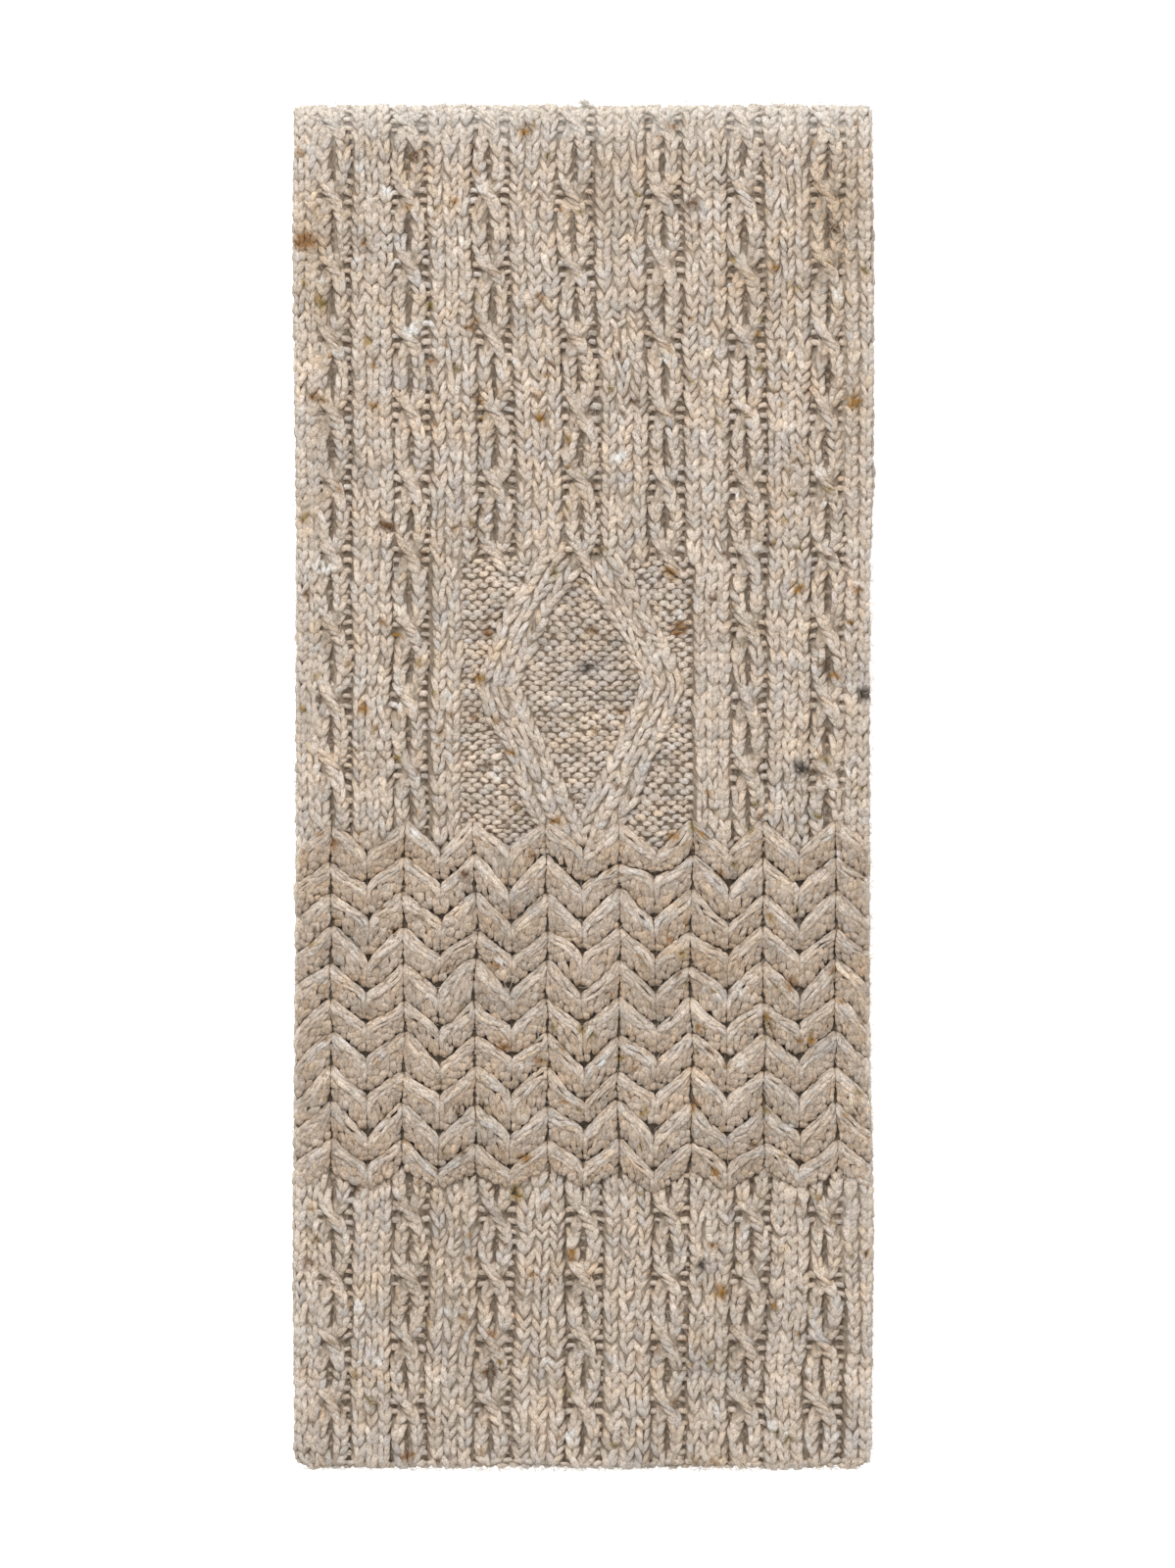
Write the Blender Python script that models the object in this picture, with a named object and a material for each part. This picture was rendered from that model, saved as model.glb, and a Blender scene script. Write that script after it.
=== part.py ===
"""A folded hand-knit scarf with cable, rib, diamond and chevron panels.

Metres, +Z up. The scarf lies flat, folded in three along its length, which runs along Y.
The front stretch lies on top, with its free end at -Y, and turns under at the fold at +Y.
The two layers beneath it share one rounded solid, layered at its edges. The origin is at
the middle of the underside. Raised patterns stand on the front stretch's outer face; its
inner face is plain.
"""
import math

import bmesh
import bpy
import numpy as np

MM = 0.001

# The folded scarf.
WIDTH = 280.0 * MM
LENGTH = 663.0 * MM
LAYER = 5.1 * MM
GAP = 0.3 * MM

# The front stretch: the wall at its plain purl ground, and how far the patterns stand on it.
GROUND = 3.2 * MM
RIB_HEIGHT = 2.5 * MM
EDGE_RIB_HEIGHT = 2.1 * MM
CABLE_HEIGHT = 2.9 * MM
DIAMOND_HEIGHT = 2.5 * MM
CHEVRON_HEIGHT = 3.3 * MM
CHEVRON_GROUND = 0.5 * MM
PRESSED = 0.40

# Panels, as distances along the cloth from the free end.
END_PANEL_TOP = 142.0 * MM
CHEVRON_TOP = 306.0 * MM
DIAMOND_TOP = 441.0 * MM
PANEL_BLEND = 4.0 * MM

# Small cables: two strands that cross and part in turn.
CABLE_SWING = 4.9 * MM
CABLE_CROSSING = 1.2
CABLE_STRAND = 3.4 * MM
CABLE_GROOVE_LEFT = 8.6 * MM
CABLE_GROOVE_RIGHT = 9.9 * MM
END_CABLE_REPEAT = 31.0 * MM
END_CABLE_FIRST = 29.8 * MM
CABLE_REPEAT = 35.0 * MM
CABLE_FIRST = 302.6 * MM
UNDER_STRAND_DROP = 0.6
STRAND_CROWN = 0.7
RIB_CROWN = 5

# Centres of the seven small cables across the scarf, in mm, at five places along it.
CABLE_CENTRES = {
    "along": (41.7, 106.0, 377.4, 498.8, 598.8),
    "cable_1": (-122.9, -121.4, -122.4, -121.9, -121.9),
    "cable_2": (-85.7, -84.3, -84.8, -83.3, -85.2),
    "cable_3": (-44.3, -42.4, -42.4, -42.4, -45.7),
    "cable_4": (-0.5, 0.0, -1.0, -1.4, -4.3),
    "cable_5": (40.5, 42.4, 40.0, 40.0, 38.6),
    "cable_6": (78.6, 81.9, 80.5, 80.0, 78.1),
    "cable_7": (115.7, 117.6, 119.0, 118.1, 119.0),
}
CABLE_NAMES = [name for name in CABLE_CENTRES if name != "along"]
EDGE_RIB_LEFT = -128.4 * MM
EDGE_RIB_RIGHT = 126.7 * MM

# Diamond: two slanting bands of three wales on a purl field.
FIELD_LEFT = -59.5 * MM
FIELD_RIGHT = 54.3 * MM
DIAMOND_CENTRE = -1.4 * MM
DIAMOND_MIDDLE = 378.5 * MM
DIAMOND_WIDE = 40.0 * MM
DIAMOND_TOP_TIP = 9.0 * MM
DIAMOND_LOW_TIP = 7.0 * MM
DIAMOND_BAND = 11.2 * MM
DIAMOND_CURVE_ABOVE = 1.3

# Chevrons: sixteen ropes side by side, which lean to and fro and meet in points.
CHEVRON_ROPES = 16
CHEVRON_ROPE = WIDTH / CHEVRON_ROPES
CHEVRON_REPEAT = 17.14 * MM
CHEVRON_FIRST = 146.4 * MM
CHEVRON_STRANDS = 11
CHEVRON_SLANT = 7.1 * MM
CHEVRON_STRAND = 5.0 * MM

# Height of a chevron strand from its hidden upper end to its lower end, by repeats below
# the middle of its slant.
CHEVRON_PROFILE = {
    "place": (-1.0, -0.75, -0.4, 0.3, 0.7, 0.93, 1.0),
    "share": (0.12, 0.62, 1.0, 1.0, 0.72, 0.35, 0.05),
}

# How far the two side edges wander, in mm outwards, along the cloth.
SIDE_EDGES = {
    "along": (0.0, 60.0, 118.0, 213.0, 261.0, 430.0, 475.0, 595.0, 663.0),
    "left": (0.0, 0.4, 1.0, -0.2, -0.6, -0.8, -0.6, 0.9, 0.0),
    "right": (-0.4, 0.3, 1.0, -1.0, -1.0, -1.0, 1.0, 1.0, -0.2),
}
CORNER_RADIUS = 5.7 * MM
EDGE_ROUND = 3.2 * MM
EDGE_THIN = 0.35

# Resolution of the front stretch's sections before its flat places are thinned out.
COLUMNS = 140
ROW_STEP = 2.1 * MM
FOLD_ROWS = 14
FRONT_TRIANGLES = 11200

# The two hidden layers, a little inside the front stretch's outline.
HIDDEN_INSET = 1.6 * MM
HIDDEN_END_INSET = 3.4 * MM
HIDDEN_GROOVE = 3.6 * MM
HIDDEN_EDGE_POINTS = 5
HIDDEN_TOP_POINTS = 5
HIDDEN_ROWS = 20
HIDDEN_FOLD_ROWS = 6
LOWER_END_ROWS = 4
LOWER_END_REACH = 3.0 * MM

# Heights and places that follow from those sizes.
HIDDEN_TOP = 2 * LAYER
FRONT_INSIDE = HIDDEN_TOP + GAP
FOLD_INNER_RADIUS = 0.25 * MM
FOLD_HEIGHT = FRONT_INSIDE - FOLD_INNER_RADIUS
FOLD_Y = LENGTH / 2 - FOLD_INNER_RADIUS - GROUND - CABLE_HEIGHT
FLAT_RUN = FOLD_Y + LENGTH / 2
FOLD_RUN_RADIUS = 4.0 * MM

WOOL_COLOUR = (0.462, 0.376, 0.296, 1.0)
INNER_WOOL_COLOUR = (0.401, 0.323, 0.250, 1.0)
WOOL_ROUGHNESS = 0.95


def clear_scene():
    for old in list(bpy.data.objects):
        bpy.data.objects.remove(old, do_unlink=True)


def wool(name, colour):
    material = bpy.data.materials.new(name)
    material.use_nodes = True
    shader = material.node_tree.nodes["Principled BSDF"]
    shader.inputs["Base Color"].default_value = colour
    shader.inputs["Roughness"].default_value = WOOL_ROUGHNESS
    shader.inputs["Metallic"].default_value = 0.0
    return material


def ease(start, end, value):
    """0 before start, 1 after end, and a smooth step between them."""
    t = np.clip((value - start) / (end - start), 0.0, 1.0)
    return t * t * (3.0 - 2.0 * t)


def panel(start, end, along):
    """1 inside a panel and 0 outside it, blended over a short way at both ends."""
    half = PANEL_BLEND / 2
    return ease(start - half, start + half, along) * (1.0 - ease(end - half, end + half, along))


def rounded_rib(x, left, right, height):
    """A raised rib with a broad, softly crowned top."""
    t = (2.0 * x - left - right) / (right - left)
    return height * np.clip(1.0 - np.abs(t) ** RIB_CROWN, 0.0, None)


def round_strand(x, centre, half_width, height):
    t = (x - centre) / half_width
    return height * np.clip(1.0 - t * t, 0.0, None) ** STRAND_CROWN


def cable_centre(name, along):
    return MM * np.interp(along / MM, CABLE_CENTRES["along"], CABLE_CENTRES[name])


def small_cable(x, along, centre, first, repeat):
    """Two strands side by side that cross at first, first + repeat and so on."""
    phase = math.pi * (along - first) / repeat
    swing = CABLE_SWING * np.tanh(CABLE_CROSSING * np.sin(phase)) / math.tanh(CABLE_CROSSING)
    closeness = np.cos(phase) ** 2
    drop_a = UNDER_STRAND_DROP * closeness * (np.cos(phase) > 0.0)
    drop_b = UNDER_STRAND_DROP * closeness * (np.cos(phase) <= 0.0)
    strand_a = round_strand(x, centre + swing, CABLE_STRAND, CABLE_HEIGHT) * (1.0 - drop_a)
    strand_b = round_strand(x, centre - swing, CABLE_STRAND, CABLE_HEIGHT) * (1.0 - drop_b)
    return np.maximum(strand_a, strand_b)


def edge_ribs(x):
    reach = WIDTH / 2 + EDGE_ROUND * 2
    left = rounded_rib(x, -reach, EDGE_RIB_LEFT, EDGE_RIB_HEIGHT)
    right = rounded_rib(x, EDGE_RIB_RIGHT, reach, EDGE_RIB_HEIGHT)
    return np.maximum(left, right)


def ribs_and_cables(x, along, first, repeat):
    """Seven small cables with a rib of three wales between each two."""
    height = edge_ribs(x)
    for name in CABLE_NAMES:
        centre = cable_centre(name, along)
        height = np.maximum(height, small_cable(x, along, centre, first, repeat))
    for name, following in zip(CABLE_NAMES, CABLE_NAMES[1:]):
        left = cable_centre(name, along) + CABLE_GROOVE_RIGHT
        right = cable_centre(following, along) - CABLE_GROOVE_LEFT
        height = np.maximum(height, rounded_rib(x, left, right, RIB_HEIGHT))
    return height


def diamond_offset(along):
    """How far the diamond's bands lie from its centre line: bowed above, straight below."""
    above = np.clip(along - DIAMOND_MIDDLE, 0.0, None) / (DIAMOND_TOP - DIAMOND_MIDDLE)
    below = np.clip(DIAMOND_MIDDLE - along, 0.0, None) / (DIAMOND_MIDDLE - CHEVRON_TOP)
    narrowing = (DIAMOND_WIDE - DIAMOND_TOP_TIP) * above ** DIAMOND_CURVE_ABOVE
    narrowing = narrowing + (DIAMOND_WIDE - DIAMOND_LOW_TIP) * below
    return np.clip(DIAMOND_WIDE - narrowing, 0.0, None)


def diamond_panel(x, along):
    """A purl field with the diamond's bands, and ribs and cables at both sides of it."""
    sides = ribs_and_cables(x, along, CABLE_FIRST, CABLE_REPEAT)
    field = (x > FIELD_LEFT) & (x < FIELD_RIGHT)
    bands = np.zeros_like(x)
    for side in (-1.0, 1.0):
        centre = DIAMOND_CENTRE + side * diamond_offset(along)
        band = rounded_rib(x, centre - DIAMOND_BAND, centre + DIAMOND_BAND, DIAMOND_HEIGHT)
        bands = np.maximum(bands, band)
    return np.where(field, bands, sides)


def chevron_panel(x, along):
    """Ropes of two-wale strands, each passing over the next from a peak down to a point."""
    height = np.zeros_like(x)
    for rope in range(CHEVRON_ROPES):
        left = -WIDTH / 2 + rope * CHEVRON_ROPE
        peak = left if rope % 2 else left + CHEVRON_ROPE
        lean = 1.0 if rope % 2 else -1.0
        inside = (x >= left) & (x <= left + CHEVRON_ROPE)
        for number in range(CHEVRON_STRANDS + 1):
            middle = CHEVRON_FIRST + (number - 1) * CHEVRON_REPEAT
            place = (middle - along) / CHEVRON_REPEAT
            shown = inside & (np.abs(place) < 1.0)
            across = ease(-CHEVRON_SLANT, CHEVRON_SLANT, middle - along)
            centre = peak + lean * CHEVRON_ROPE * (0.25 + 0.5 * across)
            arch = np.interp(place, CHEVRON_PROFILE["place"], CHEVRON_PROFILE["share"])
            strand = round_strand(x, centre, CHEVRON_STRAND, CHEVRON_HEIGHT) * arch
            height = np.maximum(height, np.where(shown, strand, 0.0))
    return height + CHEVRON_GROUND


def relief(x, along):
    """Height of the raised patterns above the ground at x and at a distance along the cloth."""
    end_panel = ribs_and_cables(x, along, END_CABLE_FIRST, END_CABLE_REPEAT)
    long_panel = ribs_and_cables(x, along, CABLE_FIRST, CABLE_REPEAT)
    far = 2 * LENGTH
    height = end_panel * panel(-far, END_PANEL_TOP, along)
    height = height + chevron_panel(x, along) * panel(END_PANEL_TOP, CHEVRON_TOP, along)
    height = height + diamond_panel(x, along) * panel(CHEVRON_TOP, DIAMOND_TOP, along)
    return height + long_panel * panel(DIAMOND_TOP, far, along)


def side_edge(side, along):
    """Half the width at one side, with its wander and the rounded corner at the free end."""
    half = WIDTH / 2 + MM * np.interp(along / MM, SIDE_EDGES["along"], SIDE_EDGES[side])
    short = max(CORNER_RADIUS - along, 0.0)
    return half - CORNER_RADIUS + math.sqrt(CORNER_RADIUS ** 2 - short ** 2)


def edge_thickness(distance):
    """Share of the full thickness near an edge of the cloth, which is rounded."""
    t = np.clip(distance / EDGE_ROUND, 0.0, 1.0)
    return EDGE_THIN + (1.0 - EDGE_THIN) * np.sqrt(1.0 - (1.0 - t) ** 2)


def front_rows():
    """The sections' places along the cloth: close at the free end, even, then round the fold."""
    tip = [0.0, 0.15 * EDGE_ROUND, 0.4 * EDGE_ROUND, 0.7 * EDGE_ROUND]
    even = list(np.linspace(EDGE_ROUND, FLAT_RUN, int(round(FLAT_RUN / ROW_STEP))))
    step = math.pi * FOLD_RUN_RADIUS / FOLD_ROWS
    fold = [FLAT_RUN + step * (row + 1) for row in range(FOLD_ROWS)]
    return tip + even + fold


def front_section(along):
    """One closed ring across the front stretch: its outer face, then its inner face."""
    share = np.linspace(0.0, 1.0, COLUMNS + 1)
    left = side_edge("left", along)
    right = side_edge("right", along)
    x = -left + (left + right) * share
    turn = max(along - FLAT_RUN, 0.0) / FOLD_RUN_RADIUS
    pressed = 1.0 - (1.0 - PRESSED) * float(ease(0.5 * math.pi, math.pi, np.array(turn)))
    nearest = np.minimum(np.minimum(x + left, right - x), along)
    height = GROUND + relief(x, np.full_like(x, along)) * pressed
    height = height * edge_thickness(nearest)
    y = min(along - LENGTH / 2, FOLD_Y)
    outer_radius = FOLD_INNER_RADIUS + height
    outer_y = y + outer_radius * math.sin(turn)
    outer_z = FOLD_HEIGHT + outer_radius * math.cos(turn)
    inner_y = np.full_like(x, y + FOLD_INNER_RADIUS * math.sin(turn))
    inner_z = np.full_like(x, FOLD_HEIGHT + FOLD_INNER_RADIUS * math.cos(turn))
    outer = np.stack([x, outer_y, outer_z], axis=1)
    inner = np.stack([x, inner_y, inner_z], axis=1)[::-1]
    return np.concatenate([outer, inner])


def loft(name, rings, material):
    """A closed solid through rings of points, all with the same number of points."""
    mesh = bpy.data.meshes.new(name)
    solid = bmesh.new()
    rows = [[solid.verts.new(point) for point in ring] for ring in rings]
    for lower, upper in zip(rows, rows[1:]):
        for index in range(len(lower)):
            after = (index + 1) % len(lower)
            solid.faces.new((lower[index], lower[after], upper[after], upper[index]))
    solid.faces.new(rows[0][::-1])
    solid.faces.new(rows[-1])
    bmesh.ops.recalc_face_normals(solid, faces=solid.faces)
    solid.to_mesh(mesh)
    solid.free()
    mesh.materials.append(material)
    return bpy.data.objects.new(name, mesh)


def front_stretch():
    rings = [front_section(along) for along in front_rows()]
    piece = loft("front_stretch", rings, wool("wool_front", WOOL_COLOUR))
    full_count = sum(len(face.vertices) - 2 for face in piece.data.polygons)
    thin_out = piece.modifiers.new("thin_out_flat_places", "DECIMATE")
    thin_out.decimate_type = "COLLAPSE"
    thin_out.ratio = FRONT_TRIANGLES / full_count
    return piece


def layer_edge(bottom):
    """Points of one layer's rounded side edge, from its top down: distance in, and height."""
    points = []
    for number in range(HIDDEN_EDGE_POINTS):
        angle = math.pi * (number + 0.5) / HIDDEN_EDGE_POINTS
        inwards = HIDDEN_GROOVE * (1.0 - math.sin(angle))
        points.append((inwards, bottom + LAYER * (0.5 + 0.5 * math.cos(angle))))
    return points


def hidden_outline(left, right):
    """The ring across the hidden layers, clockwise from the left groove, and its two parts."""
    upper = layer_edge(LAYER)
    lower = layer_edge(0.0)
    top_left = -left + HIDDEN_GROOVE
    top_right = right - HIDDEN_GROOVE
    groove = HIDDEN_GROOVE
    top = [(x, HIDDEN_TOP) for x in np.linspace(top_left, top_right, HIDDEN_TOP_POINTS)]
    upper_part = [(-left + groove, LAYER)]
    upper_part += [(-left + inwards, z) for inwards, z in reversed(upper)]
    upper_part += top
    upper_part += [(right - inwards, z) for inwards, z in upper]
    upper_part += [(right - groove, LAYER)]
    lower_part = [(right - inwards, z) for inwards, z in lower]
    lower_part += [(top_right, 0.0), (top_left, 0.0)]
    lower_part += [(-left + inwards, z) for inwards, z in reversed(lower)]
    return upper_part, lower_part


def hidden_sides(y):
    along = y + LENGTH / 2
    left = side_edge("left", max(along, CORNER_RADIUS)) - HIDDEN_INSET
    right = side_edge("right", max(along, CORNER_RADIUS)) - HIDDEN_INSET
    return left, right


def hidden_layers():
    """The middle and lower layers: folded at -Y, and the lower one's free end at +Y."""
    start = -LENGTH / 2 + HIDDEN_END_INSET
    fold_centre = start + LAYER
    upper_end = FOLD_Y - GAP
    lower_end = FOLD_Y + LOWER_END_REACH
    mesh = bpy.data.meshes.new("hidden_layers")
    solid = bmesh.new()

    def ring(points, y, squeeze, middle):
        return [solid.verts.new((x, y, middle + (z - middle) * squeeze)) for x, z in points]

    def join(first, second, closed=True):
        count = len(first)
        for index in range(count if closed else count - 1):
            after = (index + 1) % count
            solid.faces.new((first[index], first[after], second[after], second[index]))

    rings = []
    for row in range(HIDDEN_FOLD_ROWS):
        angle = 0.5 * math.pi * (row + 0.6) / (HIDDEN_FOLD_ROWS + 0.6)
        y = fold_centre - LAYER * math.cos(angle)
        upper_part, lower_part = hidden_outline(*hidden_sides(y))
        rings.append(ring(upper_part + lower_part, y, math.sin(angle), LAYER))
    for y in np.linspace(fold_centre, upper_end, HIDDEN_ROWS):
        upper_part, lower_part = hidden_outline(*hidden_sides(y))
        rings.append(ring(upper_part + lower_part, y, 1.0, LAYER))
    for first, second in zip(rings, rings[1:]):
        join(first, second)
    solid.faces.new(rings[0])

    # The upper layer stops here; the lower one goes on under the front stretch's fold.
    split = len(upper_part)
    last = rings[-1]
    solid.faces.new(last[:split])
    lower_rings = [[last[split - 1]] + last[split:] + [last[0]]]
    for row in range(LOWER_END_ROWS):
        angle = 0.5 * math.pi * row / (LOWER_END_ROWS - 0.4)
        y = lower_end - LAYER / 2 * (1.0 - math.sin(angle))
        left, right = hidden_sides(y)
        points = [(right - HIDDEN_GROOVE, LAYER)] + hidden_outline(left, right)[1]
        points += [(-left + HIDDEN_GROOVE, LAYER)]
        lower_rings.append(ring(points, y, math.cos(angle), LAYER / 2))
    for first, second in zip(lower_rings, lower_rings[1:]):
        join(first, second)
    solid.faces.new(lower_rings[-1])

    bmesh.ops.recalc_face_normals(solid, faces=solid.faces)
    solid.to_mesh(mesh)
    solid.free()
    mesh.materials.append(wool("wool_inner", INNER_WOOL_COLOUR))
    return bpy.data.objects.new("hidden_layers", mesh)


def shade_round(piece, sharp_angle):
    piece.data.shade_smooth()
    piece.data.set_sharp_from_angle(angle=math.radians(sharp_angle))


def main():
    clear_scene()
    collection = bpy.data.collections.new("folded_knit_scarf")
    bpy.context.scene.collection.children.link(collection)
    for piece in (front_stretch(), hidden_layers()):
        shade_round(piece, 50.0)
        collection.objects.link(piece)


main()
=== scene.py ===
"""Looks of a folded hand-knit scarf: every stitch as yarn over thin wool shells.

The yarn is laid in cloth coordinates: x across the scarf, "along" from the free end over
the front stretch and round its fold, and a height over the cloth's inner face.
"""
import math
from collections import namedtuple

import bpy
import numpy as np
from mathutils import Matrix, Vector


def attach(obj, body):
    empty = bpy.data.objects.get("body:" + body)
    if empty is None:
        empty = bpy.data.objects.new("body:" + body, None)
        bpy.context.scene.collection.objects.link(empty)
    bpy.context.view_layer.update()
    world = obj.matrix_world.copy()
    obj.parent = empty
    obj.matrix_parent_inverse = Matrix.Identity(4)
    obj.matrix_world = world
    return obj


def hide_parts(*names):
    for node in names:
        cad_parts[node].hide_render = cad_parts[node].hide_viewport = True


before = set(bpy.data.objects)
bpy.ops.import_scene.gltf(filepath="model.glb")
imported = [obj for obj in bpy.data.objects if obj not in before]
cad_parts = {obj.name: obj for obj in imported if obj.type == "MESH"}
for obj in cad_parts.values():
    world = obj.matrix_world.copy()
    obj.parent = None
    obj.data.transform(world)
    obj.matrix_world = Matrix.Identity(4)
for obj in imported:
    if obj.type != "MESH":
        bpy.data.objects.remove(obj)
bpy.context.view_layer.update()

MM = 0.001
SIDES = {"left": -1.0, "right": 1.0}

# The cloth, with the same sizes as the solids.
WIDTH = 280.0 * MM
LENGTH = 663.0 * MM
LAYER = 5.1 * MM
GROUND = 3.2 * MM
RIB_HEIGHT = 2.5 * MM
EDGE_RIB_HEIGHT = 2.1 * MM
CABLE_HEIGHT = 2.9 * MM
DIAMOND_HEIGHT = 2.5 * MM
CHEVRON_HEIGHT = 3.3 * MM
CHEVRON_GROUND = 0.5 * MM
PRESSED = 0.40
END_PANEL_TOP = 142.0 * MM
CHEVRON_TOP = 306.0 * MM
DIAMOND_TOP = 441.0 * MM
PANEL_BLEND = 4.0 * MM
CABLE_SWING = 4.9 * MM
CABLE_CROSSING = 1.2
CABLE_STRAND = 3.4 * MM
CABLE_GROOVE_LEFT = 8.6 * MM
CABLE_GROOVE_RIGHT = 9.9 * MM
END_CABLE_REPEAT = 31.0 * MM
END_CABLE_FIRST = 29.8 * MM
CABLE_REPEAT = 35.0 * MM
CABLE_FIRST = 302.6 * MM
UNDER_STRAND_DROP = 0.6
CABLE_CENTRES = {
    "along": (41.7, 106.0, 377.4, 498.8, 598.8),
    "cable_1": (-122.9, -121.4, -122.4, -121.9, -121.9),
    "cable_2": (-85.7, -84.3, -84.8, -83.3, -85.2),
    "cable_3": (-44.3, -42.4, -42.4, -42.4, -45.7),
    "cable_4": (-0.5, 0.0, -1.0, -1.4, -4.3),
    "cable_5": (40.5, 42.4, 40.0, 40.0, 38.6),
    "cable_6": (78.6, 81.9, 80.5, 80.0, 78.1),
    "cable_7": (115.7, 117.6, 119.0, 118.1, 119.0),
}
CABLE_NAMES = [name for name in CABLE_CENTRES if name != "along"]
EDGE_RIBS = {"left": -128.4 * MM, "right": 126.7 * MM}
FIELD_LEFT = -59.5 * MM
FIELD_RIGHT = 54.3 * MM
DIAMOND_CENTRE = -1.4 * MM
DIAMOND_MIDDLE = 378.5 * MM
DIAMOND_WIDE = 40.0 * MM
DIAMOND_TOP_TIP = 9.0 * MM
DIAMOND_LOW_TIP = 7.0 * MM
DIAMOND_BAND = 11.2 * MM
DIAMOND_CURVE_ABOVE = 1.3
# By number, the cables and ribs beside the diamond; a rib's wales and its edges as shares of
# a whole one. Elsewhere there are all cables and whole ribs.
DIAMOND_CABLES = (0, 1, 5, 6)
DIAMOND_RIBS = {0: (3, 0.0, 1.0), 1: (2, 0.06, 0.645), 4: (3, 0.20, 0.98), 5: (3, 0.0, 1.0)}
WHOLE_RIBS = {number: (3, 0.0, 1.0) for number in range(len(CABLE_NAMES) - 1)}
CHEVRON_ROPES = 16
CHEVRON_ROPE = WIDTH / CHEVRON_ROPES
CHEVRON_REPEAT = 17.14 * MM
CHEVRON_FIRST = 146.4 * MM
CHEVRON_LAST = CHEVRON_FIRST + 9 * CHEVRON_REPEAT
# The edge of a row of chevrons rises from the points of the V's to the peaks, and the lowest
# row's lower edge rises less. The row above ends a gap before the points.
CHEVRON_RISE = 14.3 * MM
CHEVRON_BLUNT = 0.94
CHEVRON_GAP = 1.5 * MM
CHEVRON_GAP_UNEVEN = 0.6
GAP_LIMITS = 0.2, 1.8
CHEVRON_FOOT = 2.9 * MM
CHEVRON_FOOT_RISE = 9.5 * MM
CHEVRON_TUCK = 2.2 * MM
CHEVRON_TUCK_BLEND = 1.5 * MM
CHEVRON_SEAM = 0.85 * MM
LIMB_BEND = 8
STRAY = 0.12
SIDE_EDGES = {
    "along": (0.0, 60.0, 118.0, 213.0, 261.0, 430.0, 475.0, 595.0, 663.0),
    "left": (0.0, 0.4, 1.0, -0.2, -0.6, -0.8, -0.6, 0.9, 0.0),
    "right": (-0.4, 0.3, 1.0, -1.0, -1.0, -1.0, 1.0, 1.0, -0.2),
}
CORNER_RADIUS = 5.7 * MM
HIDDEN_INSET = 1.6 * MM
HIDDEN_END_INSET = 3.4 * MM
BACK_FOLD_Y = -LENGTH / 2 + HIDDEN_END_INSET + LAYER
FRONT_INSIDE = 2 * LAYER + 0.3 * MM
FOLD_INNER_RADIUS = 0.25 * MM
FOLD_HEIGHT = FRONT_INSIDE - FOLD_INNER_RADIUS
FOLD_Y = LENGTH / 2 - FOLD_INNER_RADIUS - GROUND - CABLE_HEIGHT
FLAT_RUN = FOLD_Y + LENGTH / 2
RIB_CROWN = 7
STRAND_CROWN = 0.55

# How the yarn turns down at the side edges and the free end, and under at the fold.
EDGE_TURN = 3.0 * MM
EDGE_PIVOT = 2.4 * MM
EDGE_TOP = 5.3 * MM
EDGE_REACH = 6.0 * MM
EDGE_PUFF = 1.1 * MM
END_TURN = 2.8 * MM
FOLD_RUN = 5.6 * MM
FOLD_LEVEL = 3.3 * MM
FOLD_EVEN = 0.75
FOLD_EVENING = 0.10 * math.pi, 0.45 * math.pi
WANDER_ACROSS = 0.7 * MM
WANDER_ALONG = 1.05 * MM
CHEVRON_WANDER = 0.7

# The yarn's radii, and the sizes of its stitches.
YARN = 1.84 * MM
RIBBON_YARN = 1.34 * MM
BODY_YARN = 1.70 * MM
PURL_YARN = 1.80 * MM
LADDER_YARN = 1.62 * MM
STROKE_YARN = 1.50 * MM
SELVEDGE_YARN = 1.15 * MM
YARN_FLATNESS = 0.74
YARN_TIP, STROKE_TIP = 0.75, 0.7
WALE = 6.1 * MM
CABLE_WALE = 6.6 * MM
EDGE_WALE = 5.9 * MM
BAND_WALE, BAND_PITCH = 6.2 * MM, 6.9 * MM
BAND_BELOW, BAND_ABOVE, BAND_ROUND = 2.0 * MM, 1.0 * MM, 0.3 * MM
SELVEDGE_WALE = 4.6 * MM
COURSE = CABLE_REPEAT / 7
CHEVRON_COURSE = CHEVRON_REPEAT / 4
PURL_LENGTH = 1.04

# Where the ribs and cables run: start, end, a cable's first crossing and repeat, and a course.
Zone = namedtuple("Zone", "start end first repeat course")
ZONES = {
    "end": Zone(
        -1.0 * MM, END_PANEL_TOP + 2.5 * MM, END_CABLE_FIRST, END_CABLE_REPEAT,
        END_CABLE_REPEAT / 6,
    ),
    "diamond": Zone(CHEVRON_LAST - 1.0 * MM, DIAMOND_TOP, CABLE_FIRST, CABLE_REPEAT, COURSE),
    "long": Zone(DIAMOND_TOP, FLAT_RUN + 3.2 * COURSE, CABLE_FIRST, CABLE_REPEAT, COURSE),
}

# Turns of the section's points round the yarn, which is plain below, where it hides.
YARN_SECTION = np.radians((-22.0, 52.0, 128.0, 202.0))
FIBRE_SECTION = np.radians((30.0, 150.0, 270.0))

# One leg of a knit stitch: places in courses and wales from the stitch's middle, share of
# the full radius, and depth under the crest in mm.
LEG = {
    "along": (-0.72, -0.30, 0.22, 0.66),
    "aside": (0.03, 0.15, 0.29, 0.39),
    "radius": (0.66, 1.0, 1.0, 0.78),
    "depth": (0.6, 0.0, 0.05, 1.0),
}
# The long, nearly parallel legs of the chevrons' ribbons.
RIBBON_LEG = {
    "along": (-0.85, -0.30, 0.25, 0.78),
    "aside": (0.18, 0.22, 0.27, 0.31),
    "radius": (0.60, 1.0, 1.0, 0.65),
    "depth": (0.8, 0.1, 0.0, 0.9),
}
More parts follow.
